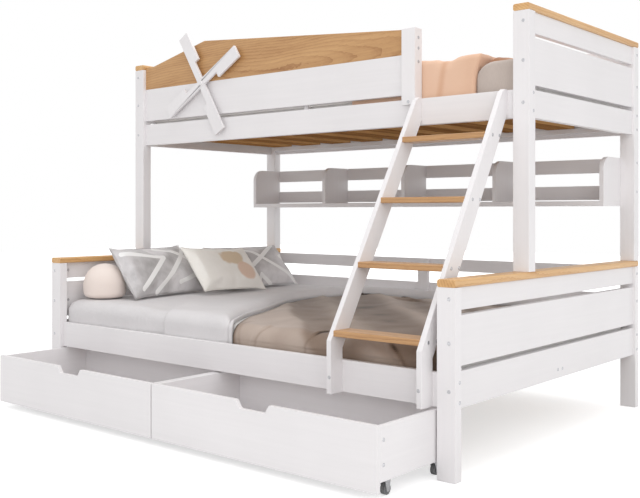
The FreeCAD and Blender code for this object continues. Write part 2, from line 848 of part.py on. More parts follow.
for name, drawer_x in (
        ("left", left + z.drawer_end_gap),
        ("right", left + z.drawer_end_gap + drawer_wide + z.drawer_middle_gap)):
    prefix = "drawer_" + name
    grip_start = (drawer_wide - z.grip_wide) / 2
    floor_start = (drawer_wide - z.grip_floor_wide) / 2
    face = profile(
        prefix + "_front", "XZ_Plane",
        [(nothing, nothing), (drawer_wide, nothing), (drawer_wide, front_tall),
         (drawer_wide - grip_start, front_tall),
         (drawer_wide - floor_start, front_tall - z.grip_deep),
         (floor_start, front_tall - z.grip_deep),
         (grip_start, front_tall), (nothing, front_tall)],
        z.drawer_front_thick, drawer_x, drawer_face, z.drawer_front_base)
    round_edges(face, z.grip_radius, grip_edges)
    node(face, 1)
    sides = []
    for part, x in (("left", drawer_x), ("right", drawer_x + drawer_wide - z.drawer_side_thick)):
        sides.append(board(prefix + "_side_" + part, x, side_y, z.caster_tall,
                           z.drawer_side_thick, side_length, side_tall))
    node(group(prefix + "_sides", sides), 2)
    inner_x = drawer_x + z.drawer_side_thick
    inner_wide = drawer_wide - z.drawer_side_thick * 2
    node(board(prefix + "_back", inner_x, box_back - z.drawer_side_thick, z.caster_tall,
               inner_wide, z.drawer_side_thick, side_tall), 1)
    node(board(prefix + "_bottom", inner_x, side_y, z.caster_tall,
               inner_wide, side_length - z.drawer_side_thick, z.drawer_bottom_thick), 1)
    forks = []
    for place_name, x, y in (
            ("front_left", drawer_x + z.caster_from_side, drawer_face + z.caster_from_face),
            ("front_right", drawer_x + drawer_wide - z.caster_from_side,
             drawer_face + z.caster_from_face),
            ("rear_left", drawer_x + z.caster_from_side, box_back - z.caster_from_face),
            ("rear_right", drawer_x + drawer_wide - z.caster_from_side,
             box_back - z.caster_from_face)):
        forks.append(caster(prefix + "_" + place_name, x, y))
        caster_wheel(prefix + "_wheel_" + place_name, x, y)
    node(group(prefix + "_caster_forks", forks), 4)


# Mattresses

def soft_block(label, x, y, height, length, width, thick, radius):
    block = profile(
        label, "XY_Plane",
        [(nothing, nothing), (length, nothing), (length, width), (nothing, width)],
        thick, x, y, height)
    round_edges(block, radius, along("z"))
    return block


mattress_length = z.bed_length - (z.end_board_inset + z.end_board_thick
                                  + z.mattress_end_gap) * 2
mattress_x = -(mattress_length / 2)
lower_rail_inside = front + z.lower_post_deep
lower_mattress_y = lower_rail_inside + z.cover_gap + z.cover_thick + z.soft_gap
lower_mattress_back = lower_rear_rail_y - z.lower_mattress_back_gap
lower_mattress_wide = lower_mattress_back - lower_mattress_y
lower_mattress_base = lower_slat_top + z.soft_gap
lower_mattress_top = lower_mattress_base + z.lower_mattress_thick
node(soft_block("lower_mattress", mattress_x, lower_mattress_y, lower_mattress_base,
                mattress_length, lower_mattress_wide, z.lower_mattress_thick,
                z.mattress_edge_radius), 1)
upper_cover_front = upper_front + z.upper_post_deep + z.cover_gap
upper_mattress_y = upper_cover_front + z.cover_thick + z.soft_gap
upper_mattress_back = back - z.upper_post_deep - z.upper_mattress_back_gap
upper_mattress_wide = upper_mattress_back - upper_mattress_y
upper_mattress_base = upper_slat_base + z.slat_thick + z.soft_gap
upper_mattress_top = upper_mattress_base + z.upper_mattress_thick
node(soft_block("upper_mattress", mattress_x, upper_mattress_y, upper_mattress_base,
                mattress_length, upper_mattress_wide, z.upper_mattress_thick,
                z.mattress_edge_radius), 1)


# Lower bedding: the light duvet and the darker spread that meet along a slanting edge

duvet_edge_x_shares = (0.512, 0.466, 0.339, 0.289, 0.289)
duvet_edge_y_shares = (0.0, 0.182, 0.566, 0.79, 1.0)
cover_front = lower_rail_inside + z.cover_gap
cover_back = lower_mattress_back - z.spread_back_gap
cover_length = mattress_length - z.spread_end_gap * 2
cover_wide = cover_back - cover_front
meeting = []
for x_share, y_share in zip(duvet_edge_x_shares, duvet_edge_y_shares):
    meeting.append((z.bed_length * x_share, cover_wide * y_share))
cover_x = mattress_x + z.spread_end_gap
cover_base = lower_mattress_top + z.soft_gap
tuck = z.cover_tuck + cover_base - (z.under_bed_clear + z.lower_rail_tall)


def bed_cover(label, corners, start, length, thick, radius, base, y, drop):
    # a flat cover with a front fold that drops between mattress and rail
    body = profile(label, "XY_Plane", corners, thick, cover_x_of[label], y, base)
    fold = outline(body, label + "_fold", "XY_Plane", [
        (start, nothing), (start + length, nothing),
        (start + length, z.cover_thick), (start, z.cover_thick)])
    flap = body.newObject("PartDesign::Pad", label + "_flap")
    flap.Profile = fold
    bind(flap, "Length", drop)
    flap.Reversed = True
    body.Tip = flap

    def upper_rim(edge, box):
        return edge.BoundBox.ZMin > box.ZMax - thick.value / 4
    round_edges(body, radius, upper_rim)
    return body


cover_x_of = {"duvet": cover_x, "spread": cover_x}
duvet_corners = [(nothing, nothing)] + meeting + [(nothing, cover_wide)]
node(bed_cover("duvet", duvet_corners, nothing, meeting[0][0], z.duvet_thick,
               z.duvet_edge_radius, cover_base, cover_front, tuck), 1)
spread_corners = []
for x, y in reversed(meeting):
    spread_corners.append((x + z.soft_gap, y))
spread_corners = spread_corners + [(cover_length, nothing), (cover_length, cover_wide)]
node(bed_cover("spread", spread_corners, meeting[0][0] + z.soft_gap,
               cover_length - meeting[0][0] - z.soft_gap, z.throw_thick,
               z.throw_edge_radius, cover_base, cover_front, tuck), 1)


# Upper bedding: a thick folded quilt beside the ladder and a flat pillow at the end

upper_cover_base = upper_mattress_top + z.soft_gap
pillow_right = right - z.end_board_inset - z.end_board_thick - z.spread_end_gap
pillow_x = pillow_right - z.upper_pillow_length
quilt_x = pillow_x - z.soft_gap - z.upper_throw_length
upper_tuck = z.cover_tuck + upper_cover_base - upper_rail_top
upper_cover_wide = upper_mattress_back - z.spread_back_gap - upper_cover_front
cover_x_of["quilt"] = quilt_x
cover_x_of["upper_pillow"] = pillow_x
node(bed_cover("quilt",
               [(nothing, nothing), (z.upper_throw_length, nothing),
                (z.upper_throw_length, upper_cover_wide), (nothing, upper_cover_wide)],
               nothing, z.upper_throw_length, z.upper_throw_thick,
               z.upper_throw_edge_radius, upper_cover_base, upper_cover_front, upper_tuck), 1)
node(bed_cover("upper_pillow",
               [(nothing, nothing), (z.upper_pillow_length, nothing),
                (z.upper_pillow_length, z.upper_pillow_wide), (nothing, z.upper_pillow_wide)],
               nothing, z.upper_pillow_length, z.upper_pillow_thick,
               z.upper_throw_edge_radius, upper_cover_base, upper_cover_front, upper_tuck), 1)


# Cushions: a crown in the middle, thin drawn-in sides and pointed corners

duvet_top = cover_base + z.duvet_thick


def crown_levels(edge, crown):
    # depth and scale of each ring, from the rear middle over the seam to the front middle
    rings = int(z.cushion_rings.value)
    levels = []
    for index in range(rings + 1):
        turn = math.pi / 2 * z.crown_turn_share.value * index / rings
        swell = math.sin(turn) ** z.crown_round_share.value
        levels.append((edge / 2 + (crown - edge) / 2 * swell, math.cos(turn)))
    return [(-depth, scale) for depth, scale in reversed(levels)] + levels


def side_points(half_wide, half_tall, corner):
    # one drawn-in side and the blunted corner after it, going round to the next side
    reach = half_tall - corner
    steps = int(z.cushion_side_steps.value)
    points = []
    for index in range(steps + 1):
        share = index / steps * 2 - 1
        draw_in = half_wide * z.draw_in_share.value * (1 - share ** 2)
        points.append((half_wide - draw_in, reach * share))
    bow = corner * z.corner_bow_share.value
    points.append((half_wide - bow, half_tall - bow))
    return points


def seam_outline(wide, tall):
    # the whole seam line of a cushion, anticlockwise
    half_wide = wide.value / 2
    half_tall = tall.value / 2
    corner = z.cushion_corner.value
    across = side_points(half_wide, half_tall, corner)
    upward = [(-up, out) for out, up in side_points(half_tall, half_wide, corner)]
    half_way = across + upward
    return half_way + [(-out, -up) for out, up in half_way]


def flat_panelled(label, ring, levels):
    # the ring at each depth and scale, joined by flat panels
    rows = []
    for depth, scale in levels:
        rows.append([FreeCAD.Vector(depth, out * scale, up * scale) for out, up in ring])
    count = len(ring)
    faces = [Part.Face(Part.makePolygon(rows[0] + rows[0][:1])),
             Part.Face(Part.makePolygon(rows[-1] + rows[-1][:1]))]
    for low, high in zip(rows, rows[1:]):
        for index in range(count):
            after = (index + 1) % count
            faces.append(Part.Face(Part.makePolygon(
                [low[index], low[after], high[after], high[index], low[index]])))
    shell = Part.Shell(faces)
    shell.sewShape()
    solid = Part.Solid(shell)
    if solid.Volume < 0:
        solid.reverse()
    feature = doc.addObject("Part::Feature", label)
    feature.Label = label
    feature.Shape = solid
    return feature


def seat_on_duvet(feature, from_end, from_front, turn):
    x = (left + from_end).value
    y = (front + from_front).value
    feature.Placement = FreeCAD.Placement(FreeCAD.Vector(x, y, 0), turn)
    lowest = feature.Shape.optimalBoundingBox().ZMin
    height = (duvet_top + z.soft_gap).value - lowest
    feature.Placement = FreeCAD.Placement(FreeCAD.Vector(x, y, height), turn)
    node(feature, 1)


def cushion(label, wide, tall, crown, from_end, from_front, lean_angle, yaw, roll):
    # wide along Y, leaning back towards the end boards
    feature = flat_panelled(label, seam_outline(wide, tall),
                            crown_levels(z.cushion_edge.value, crown.value))
    turn = (FreeCAD.Rotation(FreeCAD.Vector(0, 0, 1), yaw.value)
            * FreeCAD.Rotation(FreeCAD.Vector(0, 1, 0), -lean_angle.value)
            * FreeCAD.Rotation(FreeCAD.Vector(1, 0, 0), roll.value))
    seat_on_duvet(feature, from_end, from_front, turn)


cushion("grey_cushion_left", z.grey_cushion_wide, z.grey_cushion_tall, z.grey_cushion_crown,
        z.grey_left_from_end, z.grey_left_from_front,
        z.grey_left_lean_angle, z.grey_left_yaw_angle, nothing)
cushion("grey_cushion_right", z.grey_cushion_wide, z.grey_cushion_tall, z.grey_cushion_crown,
        z.grey_right_from_end, z.bed_width - z.grey_right_from_back,
        z.grey_right_lean_angle, -z.grey_right_yaw_angle, nothing)
cushion("cream_cushion", z.cream_cushion_wide, z.cream_cushion_tall, z.cream_cushion_crown,
        z.cream_from_end, z.cream_from_front,
        z.cream_lean_angle, z.cream_yaw_angle, -z.cream_roll_angle)

round_sides = int(z.round_cushion_sides.value)
rim = []
for index in range(round_sides):
    angle = math.pi * 2 * index / round_sides
    rim.append((z.round_cushion_radius.value * math.cos(angle),
                z.round_cushion_radius.value * math.sin(angle)))
round_cushion = flat_panelled(
    "round_cushion", rim, crown_levels(z.cushion_edge.value, z.round_cushion_tall.value))
seat_on_duvet(round_cushion, z.round_cushion_from_end, z.round_cushion_from_front,
              FreeCAD.Rotation(FreeCAD.Vector(0, 1, 0), -90))


# Round the edges that were asked for, then check and write every node

doc.recompute()
for body, size, chooser, kind in edgings:
    feature = body.Tip
    box = feature.Shape.BoundBox
    names = []
    for index, edge in enumerate(feature.Shape.Edges):
        if chooser(edge, box):
            names.append("Edge" + str(index + 1))
    rounded = kind == "Fillet"
    edging = body.newObject("PartDesign::" + kind, body.Name + "_edging")
    edging.Base = (feature, names)
    bind(edging, "Radius" if rounded else "Size", size)
    body.Tip = edging
doc.recompute()

for thing in doc.Objects:
    if "Invalid" in thing.State or "Error" in thing.State:
        raise RuntimeError("failed object " + thing.Name)

os.makedirs("parts", exist_ok=True)
whole = FreeCAD.BoundBox()
for target, solids in nodes:
    shape = target.Shape
    if shape.isNull() or not shape.isValid() or len(shape.Solids) != solids:
        raise RuntimeError("bad shape " + target.Label + " " + str(len(shape.Solids)))
    shape.exportStep("parts/" + target.Label + ".step")
    whole.add(shape.BoundBox)
    print(target.Label, len(shape.Solids), round(shape.Volume))
print("nodes", len(nodes))
print("box", whole.XMin, whole.XMax, whole.YMin, whole.YMax, whole.ZMin, whole.ZMax)
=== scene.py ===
import bpy
import bmesh
import math
from mathutils import Matrix, Vector, noise


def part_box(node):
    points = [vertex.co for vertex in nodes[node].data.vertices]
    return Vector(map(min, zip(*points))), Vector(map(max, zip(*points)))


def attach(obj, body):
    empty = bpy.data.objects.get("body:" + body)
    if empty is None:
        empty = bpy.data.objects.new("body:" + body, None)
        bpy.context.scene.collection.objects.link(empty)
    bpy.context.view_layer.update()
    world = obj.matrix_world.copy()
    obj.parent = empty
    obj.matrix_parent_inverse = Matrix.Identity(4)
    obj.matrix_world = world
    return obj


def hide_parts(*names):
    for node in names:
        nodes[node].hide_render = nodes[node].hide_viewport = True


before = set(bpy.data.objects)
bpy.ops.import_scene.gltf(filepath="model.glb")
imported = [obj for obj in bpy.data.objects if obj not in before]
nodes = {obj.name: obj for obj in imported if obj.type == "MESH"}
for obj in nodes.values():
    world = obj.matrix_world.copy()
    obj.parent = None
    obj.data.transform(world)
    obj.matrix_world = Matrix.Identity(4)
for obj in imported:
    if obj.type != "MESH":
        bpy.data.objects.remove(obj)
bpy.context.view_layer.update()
scene = bpy.context.scene
print("frame loaded:", len(nodes), "nodes")


# small helpers

def feed(tree, socket, value):
    # another socket is linked, a plain value is set
    if isinstance(value, bpy.types.NodeSocket):
        tree.links.new(value, socket)
    else:
        socket.default_value = value


def addNode(tree, kind, settings=None, **values):
    # values are inputs by name, with _ for a space
    node = tree.nodes.new(kind)
    for key, value in (settings or {}).items():
        setattr(node, key, value)
    for key, value in values.items():
        feed(tree, node.inputs[key.replace("_", " ")], value)
    return node


def mathNode(tree, operation, first, second=None, third=None, clamp=False):
    node = addNode(tree, "ShaderNodeMath", {"operation": operation, "use_clamp": clamp})
    for socket, value in zip(node.inputs, (first, second, third)):
        if value is not None:
            feed(tree, socket, value)
    return node.outputs[0]


def vectorMath(tree, operation, *vectors, **values):
    node = addNode(tree, "ShaderNodeVectorMath", {"operation": operation}, **values)
    for socket, vector in zip(node.inputs, vectors):
        feed(tree, socket, vector)
    return node.outputs


def stretched(tree, vector, scale, place=(0, 0, 0), turn=(0, 0, 0)):
    return addNode(tree, "ShaderNodeMapping", Vector=vector, Scale=scale, Location=place,
                   Rotation=turn).outputs["Vector"]


def noiseOf(tree, vector, scale, detail=3.0, rough=0.5, output="Fac"):
    return addNode(tree, "ShaderNodeTexNoise", Vector=vector, Scale=scale, Detail=detail,
                   Roughness=rough).outputs[output]


def rampOf(tree, factor, stops):
    node = addNode(tree, "ShaderNodeValToRGB", Fac=factor)
    ramp = node.color_ramp.elements
    while len(ramp) < len(stops):
        ramp.new(0.5)
    for element, (place, colour) in zip(ramp, stops):
        element.position = place
        element.color = (*colour, 1)
    return node.outputs["Color"]


def mixColours(tree, factor, first, second):
    node = addNode(tree, "ShaderNodeMix", {"data_type": "RGBA"})
    for index, value in ((0, factor), (6, first), (7, second)):
        feed(tree, node.inputs[index], (*value, 1) if isinstance(value, tuple) else value)
    return node.outputs[2]


def finishSurface(tree, shader, colour, rough, height, strength, deep):
    # every surface has a colour, a roughness and a fine relief, deep in metres
    bump = addNode(tree, "ShaderNodeBump", Height=height, Strength=strength, Distance=deep)
    for title, value in (("Base Color", colour), ("Roughness", rough),
                         ("Normal", bump.outputs["Normal"])):
        tree.links.new(value, shader.inputs[title])


def shaderGroup(name, inputs, outputs):
    # inputs by name as (kind, value), all outputs are single values
    tree = bpy.data.node_groups.new(name, "ShaderNodeTree")
    for title, (kind, value) in inputs.items():
        socket = tree.interface.new_socket(name=title, in_out="INPUT",
                                           socket_type="NodeSocket" + kind)
        if value is not None:
            socket.default_value = value
    for title in outputs:
        tree.interface.new_socket(name=title, in_out="OUTPUT", socket_type="NodeSocketFloat")
    return tree, tree.nodes.new("NodeGroupInput").outputs, tree.nodes.new("NodeGroupOutput").inputs


def useGroup(tree, group, **values):
    return addNode(tree, "ShaderNodeGroup", {"node_tree": group}, **values).outputs


def newMaterial(name, roughness=0.5, **constants):
    material = bpy.data.materials.new(name)
    material.use_nodes = True
    tree = material.node_tree
    shader = tree.nodes["Principled BSDF"]
    shader.inputs["Roughness"].default_value = roughness
    for key, value in constants.items():
        shader.inputs[key.replace("_", " ")].default_value = value
    return material, tree, shader


def objectPlace(tree):
    return tree.nodes.new("ShaderNodeTexCoord").outputs["Object"]


def clothPlace(tree):
    # metres along the flat cloth
    return addNode(tree, "ShaderNodeAttribute", {"attribute_name": "clothPlace"}).outputs["Vector"]


def srgb(red, green, blue):
    def linear(value):
        value = value / 255
        return value / 12.92 if value <= 0.04045 else ((value + 0.055) / 1.055) ** 2.4
    return (linear(red), linear(green), linear(blue))


# shared surface effects

def makeWoodFigure():
    # growth rings, fibres and pores of a flat-sawn board whose grain runs along X
    tree, entry, leave = shaderGroup(
        "woodFigure",
        {"Vector": ("Vector", None), "Ring Scale": ("Float", 20.0), "Ring Share": ("Float", 0.3)},
        ("Tone", "Pores", "Height"))
    place = entry["Vector"]
    bend = noiseOf(tree, stretched(tree, place, (1.3, 4.0, 4.0)), 1.0, 2.0, output="Color")
    shift = vectorMath(tree, "SCALE", bend, Scale=0.055)["Vector"]
    rings = addNode(tree, "ShaderNodeTexWave",
                    {"wave_type": "RINGS", "rings_direction": "X", "wave_profile": "SAW"},
                    Vector=vectorMath(tree, "ADD", place, shift)["Vector"],
                    Scale=entry["Ring Scale"], Distortion=1.6, Detail=3.0, Detail_Scale=2.0)
    fibre = noiseOf(tree, stretched(tree, place, (4.0, 150.0, 150.0)), 1.0, 4.0, 0.6)
    streak = noiseOf(tree, stretched(tree, place, (1.2, 26.0, 26.0)), 1.0)
    poreNoise = noiseOf(tree, stretched(tree, place, (14.0, 420.0, 420.0)), 1.0, 2.0)
    pores = mathNode(tree, "SUBTRACT", poreNoise, 0.6)
    pores = mathNode(tree, "MULTIPLY", pores, 6.0, clamp=True)
    # the dark late wood is a thin line at the end of each ring
    late = mathNode(tree, "MULTIPLY", mathNode(tree, "POWER", rings.outputs["Fac"], 3.0),
                    entry["Ring Share"])
    tone = mathNode(tree, "MULTIPLY_ADD", streak, 0.5, 0.2)
    tone = mathNode(tree, "MULTIPLY_ADD", fibre, 0.35, tone)
    feed(tree, leave["Tone"], mathNode(tree, "SUBTRACT", tone, late))
    feed(tree, leave["Pores"], pores)
    feed(tree, leave["Height"], mathNode(tree, "MULTIPLY_ADD", pores, -0.6, fibre))
    return tree


def makePaintCoat():
    # rolled satin paint that lets the board's long grain show faintly
    tree, entry, leave = shaderGroup("paintCoat", {"Vector": ("Vector", None)},
                                     ("Tone", "Rough", "Height"))
    place = entry["Vector"]
    grain = noiseOf(tree, stretched(tree, place, (2.5, 70.0, 70.0)), 1.0, 4.0, 0.6)
    cloud = noiseOf(tree, place, 3.0, 2.0)
    roller = noiseOf(tree, place, 900.0, 2.0)
    feed(tree, leave["Tone"],
         mathNode(tree, "MULTIPLY_ADD", grain, 0.4, mathNode(tree, "MULTIPLY", cloud, 0.6)))
    rough = mathNode(tree, "MULTIPLY_ADD", cloud, 0.12, 0.36)
    feed(tree, leave["Rough"], mathNode(tree, "MULTIPLY_ADD", grain, 0.06, rough))
    feed(tree, leave["Height"],
         mathNode(tree, "MULTIPLY_ADD", roller, 0.25, mathNode(tree, "MULTIPLY", grain, 0.75)))
    return tree


def makeClothWeave():
    # crossing threads with slubs; Vector holds metres across the cloth
    tree, entry, leave = shaderGroup(
        "clothWeave", {"Vector": ("Vector", None), "Threads": ("Float", 900.0)}, ("Tone", "Height"))
    place = entry["Vector"]
    waves = [addNode(tree, "ShaderNodeTexWave", {"wave_type": "BANDS", "bands_direction": way},
                     Vector=place, Scale=entry["Threads"], Distortion=0.6, Detail=1.0,
                     Detail_Scale=0.5).outputs["Fac"] for way in "XY"]
    crossing = mathNode(tree, "MULTIPLY", *waves)
    slubs = noiseOf(tree, stretched(tree, place, (500.0, 60.0, 500.0)), 1.0)
    cloud = noiseOf(tree, place, 6.0)
    feed(tree, leave["Height"], mathNode(tree, "MULTIPLY_ADD", slubs, 0.6, crossing))
    feed(tree, leave["Tone"],
         mathNode(tree, "MULTIPLY_ADD", slubs, 0.35, mathNode(tree, "MULTIPLY", cloud, 0.65)))
    return tree


def makePlushPile():
    # short soft pile with brushed clouds
    tree, entry, leave = shaderGroup(
        "plushPile", {"Vector": ("Vector", None), "Pile Scale": ("Float", 420.0)},
        ("Tone", "Height"))
    pile = noiseOf(tree, entry["Vector"], entry["Pile Scale"], 4.0, 0.7)
    brushed = noiseOf(tree, entry["Vector"], 14.0, 4.0, 0.6)
    feed(tree, leave["Tone"],
         mathNode(tree, "MULTIPLY_ADD", pile, 0.5, mathNode(tree, "MULTIPLY", brushed, 0.5)))
    feed(tree, leave["Height"], mathNode(tree, "MULTIPLY_ADD", brushed, 1.5, pile))
    return tree


woodFigure = makeWoodFigure()
paintCoat = makePaintCoat()
clothWeave = makeClothWeave()
plushPile = makePlushPile()


# paint and wood

grainTurns = {"x": (0, 0, 0), "y": (0, 0, -math.pi / 2), "z": (0, math.pi / 2, 0)}

paintLook = {"light": srgb(236, 233, 234), "dark": srgb(229, 226, 227), "bump": (0.05, 0.002)}


def makePaint(axis):
    look = paintLook
    material, tree, shader = newMaterial("whitePaint_" + axis, Coat_Weight=0.12, Coat_Roughness=0.3)
    along = stretched(tree, objectPlace(tree), (1, 1, 1), turn=grainTurns[axis])
    coat = useGroup(tree, paintCoat, Vector=along)
    colour = rampOf(tree, coat["Tone"], [(0.3, look["dark"]), (0.7, look["light"])])
    finishSurface(tree, shader, colour, coat["Rough"], coat["Height"], *look["bump"])
    return material


woodLooks = {
    "capWood": {"turn": (0.03, 0.02, -math.pi / 2), "place": (0.2, 0.02, -0.3), "rings": 34.0,
                "share": 0.22, "coat": 0.2, "shine": 0.5, "dark": srgb(170, 118, 66),
                "mid": srgb(205, 158, 102), "light": srgb(226, 186, 132)},
    "panelWood": {"turn": (0.02, 0.045, 0.06), "place": (0.15, 0.155, -1.44), "rings": 30.0,
                  "share": 0.24, "coat": 0.2, "shine": 0.5, "dark": srgb(148, 99, 56),
                  "mid": srgb(184, 139, 91), "light": srgb(204, 160, 110)},
    "treadWood": {"turn": (0.04, 0.03, 0.05), "place": (0.1, 0.35, -0.7), "rings": 34.0,
                  "share": 0.22, "coat": 0.2, "shine": 0.5, "dark": srgb(145, 99, 56),
                  "mid": srgb(182, 137, 91), "light": srgb(204, 161, 112)},
    # the slat colours are darker than the other woods, partly painted shade for their shaded
    # undersides
    "slatWood": {"turn": (0.03, 0.02, -math.pi / 2), "place": (0.3, 0.1, -1.1), "rings": 20.0,
                 "share": 0.25, "coat": 0.0, "shine": 0.0, "dark": srgb(92, 60, 34),
                 "mid": srgb(154, 110, 68), "light": srgb(192, 146, 96),
                 "litSides": {"colour": srgb(218, 170, 116), "share": 0.75, "sharp": 4.0}},
}
woodFinish = {"coatRough": 0.35, "poreShare": 0.5, "bump": (0.12, 0.001)}


def makeWood(name):
    look = woodLooks[name]
    material, tree, shader = newMaterial(name, Coat_Weight=look["coat"],
                                         Coat_Roughness=woodFinish["coatRough"],
                                         Specular_IOR_Level=look["shine"])
    along = stretched(tree, objectPlace(tree), (1, 1, 1), look["place"], look["turn"])
    figure = useGroup(tree, woodFigure, Vector=along, Ring_Scale=look["rings"],
                      Ring_Share=look["share"])
    colour = rampOf(tree, figure["Tone"],
                    [(0.25, look["dark"]), (0.5, look["mid"]), (0.8, look["light"])])
    pores = mathNode(tree, "MULTIPLY", figure["Pores"], woodFinish["poreShare"])
    colour = mixColours(tree, pores, colour, look["dark"])
    litSides = look.get("litSides")
    if litSides:
        # painted light: the long side faces of the slats, facing along X, are painted paler than
        # their undersides, which lie in shade
        facing = tree.nodes.new("ShaderNodeTexCoord").outputs["Normal"]
        sideways = addNode(tree, "ShaderNodeSeparateXYZ", Vector=facing).outputs["X"]
        edge = mathNode(tree, "POWER", mathNode(tree, "ABSOLUTE", sideways), litSides["sharp"])
        colour = mixColours(tree, mathNode(tree, "MULTIPLY", edge, litSides["share"]), colour,
                            litSides["colour"])
    rough = mathNode(tree, "MULTIPLY_ADD", figure["Tone"], -0.15, 0.55)
    finishSurface(tree, shader, colour, rough, figure["Height"], *woodFinish["bump"])
    return material


paints = {axis: makePaint(axis) for axis in "xyz"}
woods = {name: makeWood(name) for name in woodLooks}


# rough is how much the clouds add and what they add to
hardwareLooks = {
    "zincSteel": {"metallic": 1.0, "cloud": 260.0, "fade": (0.3, 0.7), "dark": (0.42, 0.42, 0.44),
                  "light": (0.62, 0.62, 0.64), "rough": (0.25, 0.25), "bump": (0.1, 0.0004)},
    "casterSteel": {"metallic": 1.0, "cloud": 260.0, "fade": (0.3, 0.7), "dark": (0.26, 0.26, 0.27),
                    "light": (0.42, 0.42, 0.43), "rough": (0.25, 0.3), "bump": (0.1, 0.0004)},
    "wheelRubber": {"metallic": 0.0, "cloud": 180.0, "fade": (0.35, 0.75),
                    "dark": (0.13, 0.13, 0.135), "light": (0.24, 0.24, 0.24),
                    "rough": (0.3, 0.5), "bump": (0.2, 0.0005)},
}


def makeHardware(name):
    look = hardwareLooks[name]
    material, tree, shader = newMaterial(name, Metallic=look["metallic"])
    cloud = noiseOf(tree, objectPlace(tree), look["cloud"], 4.0)
    first, last = look["fade"]
    colour = rampOf(tree, cloud, [(first, look["dark"]), (last, look["light"])])
    rough = mathNode(tree, "MULTIPLY_ADD", cloud, *look["rough"])
    finishSurface(tree, shader, colour, rough, cloud, *look["bump"])
    return material


hardware = {name: makeHardware(name) for name in hardwareLooks}

# which way the grain of each painted node runs
grainOf = {
    "x": ["lower_side_rails", "lower_rear_guard_rails", "upper_front_side_rail",
          "upper_rear_side_rail", "upper_rear_guard_rails", "slat_cleats", "middle_beam",
          "guard_board", "shelf_board", "shelf_back_rails",
          "drawer_left_front", "drawer_right_front", "drawer_left_back", "drawer_right_back"],
    "y": ["lower_end_boards_left", "lower_end_boards_right", "upper_end_boards_left",
          "upper_end_boards_right", "drawer_left_sides", "drawer_right_sides",
          "drawer_left_bottom", "drawer_right_bottom"],
    "z": ["lower_posts", "upper_posts", "guard_post", "lower_guard_batten", "front_guard_batten",
          "beam_legs", "ladder_stiles", "shelf_uprights", "windmill_front_arm",
          "windmill_rear_arm", "windmill_hub"],
}
woodOf = {
    "capWood": ["lower_end_caps", "upper_end_caps"],
    "panelWood": ["arched_guard_panel"],
    "treadWood": ["ladder_treads"],
    "slatWood": ["lower_slats", "upper_slats"],
}
edgeRounding = {"weld": 0.00001, "width": 0.0016, "segments": 3, "angle": math.radians(35)}


def dress(node, material):
    target = nodes[node].data
    target.materials.clear()
    target.materials.append(material)


def roundBoards(node):
    # boards leave the mill with their sharp edges broken
    weld = nodes[node].modifiers.new("joinCorners", "WELD")
    weld.merge_threshold = edgeRounding["weld"]
    bevel = nodes[node].modifiers.new("brokenEdges", "BEVEL")
    bevel.limit_method = "ANGLE"
    bevel.angle_limit = edgeRounding["angle"]
    bevel.width = edgeRounding["width"]
    bevel.segments = edgeRounding["segments"]


for axis, names in grainOf.items():
    for node in names:
        dress(node, paints[axis])
        if "bottom" not in node and "windmill_hub" not in node:
            roundBoards(node)
for wood, names in woodOf.items():
    for node in names:
        dress(node, woods[wood])
        roundBoards(node)
dress("windmill_pin", hardware["zincSteel"])
for node in nodes:
    if "caster_forks" in node:
        dress(node, hardware["casterSteel"])
    elif "wheel" in node:
        dress(node, hardware["wheelRubber"])
print("boards dressed")


# shape helpers for the bedding

def ease(value, low, high):
    # smooth step from 0 at low to 1 at high
    share = min(1.0, max(0.0, (value - low) / (high - low)))
    return share * share * (3 - 2 * share)


def roundEdge(distance, width):
    # share of the full thickness this far in from a closed edge
    share = min(1.0, max(0.0, distance / width))
    return math.sqrt(1 - (1 - share) ** 2)


def ridge(distance, width):
    # soft fold across a line, 1 on the line
    return math.exp(-(distance / width) ** 2)


def wander(x, y, scale, seed):
    # smooth noise, from about -1 to 1, that is the same on every run
    return noise.noise(Vector((x * scale, y * scale, seed)))


def waver(x, y, scale, seed):
    # the same noise, from about 0 to 1
    return 0.5 + 0.5 * wander(x, y, scale, seed)


def lineAt(points, y):
    # x of a smooth line through (y, x) points
    for index in range(len(points) - 1):
        if y <= points[index + 1][0] or index == len(points) - 2:
            break
    (y0, x0), (y1, x1) = points[index], points[index + 1]
    before = points[max(index - 1, 0)]
    after = points[min(index + 2, len(points) - 1)]
    slope0 = (x1 - before[1]) / (y1 - before[0])
    slope1 = (after[1] - x0) / (after[0] - y0)
    span = y1 - y0
    t = min(1.0, max(0.0, (y - y0) / span))
    return ((2 * t ** 3 - 3 * t ** 2 + 1) * x0 + (t ** 3 - 2 * t ** 2 + t) * span * slope0
            + (3 * t ** 2 - 2 * t ** 3) * x1 + (t ** 3 - t ** 2) * span * slope1)


def distanceTo(point, start, end):
    # distance of a flat point from a straight piece
    along = end - start
    share = min(1.0, max(0.0, (point - start).dot(along) / along.length_squared))
    return (point - start - along * share).length


def sideOf(point, start, end):
    # the same distance, above zero on the left of the way from start to end
    return math.copysign(distanceTo(point, start, end), (end - start).cross(point - start))


def placed(name, data):
    item = bpy.data.objects.new(name, data)
    scene.collection.objects.link(item)
    return item


def giveVectors(mesh, title, vectors):
    layer = mesh.attributes.new(title, "FLOAT_VECTOR", "POINT")
    layer.data.foreach_set("vector", [value for vector in vectors for value in vector])


def meshPiece(name, points, faces, material, cloth=None):
    # cloth holds the place of each point on the flat cloth
    mesh = bpy.data.meshes.new(name)
    mesh.from_pydata(points, [], faces)
    mesh.update()
    mesh.polygons.foreach_set("use_smooth", [True] * len(mesh.polygons))
    if cloth:
        giveVectors(mesh, "clothPlace", cloth)
    mesh.materials.append(material)
    return placed(name, mesh)


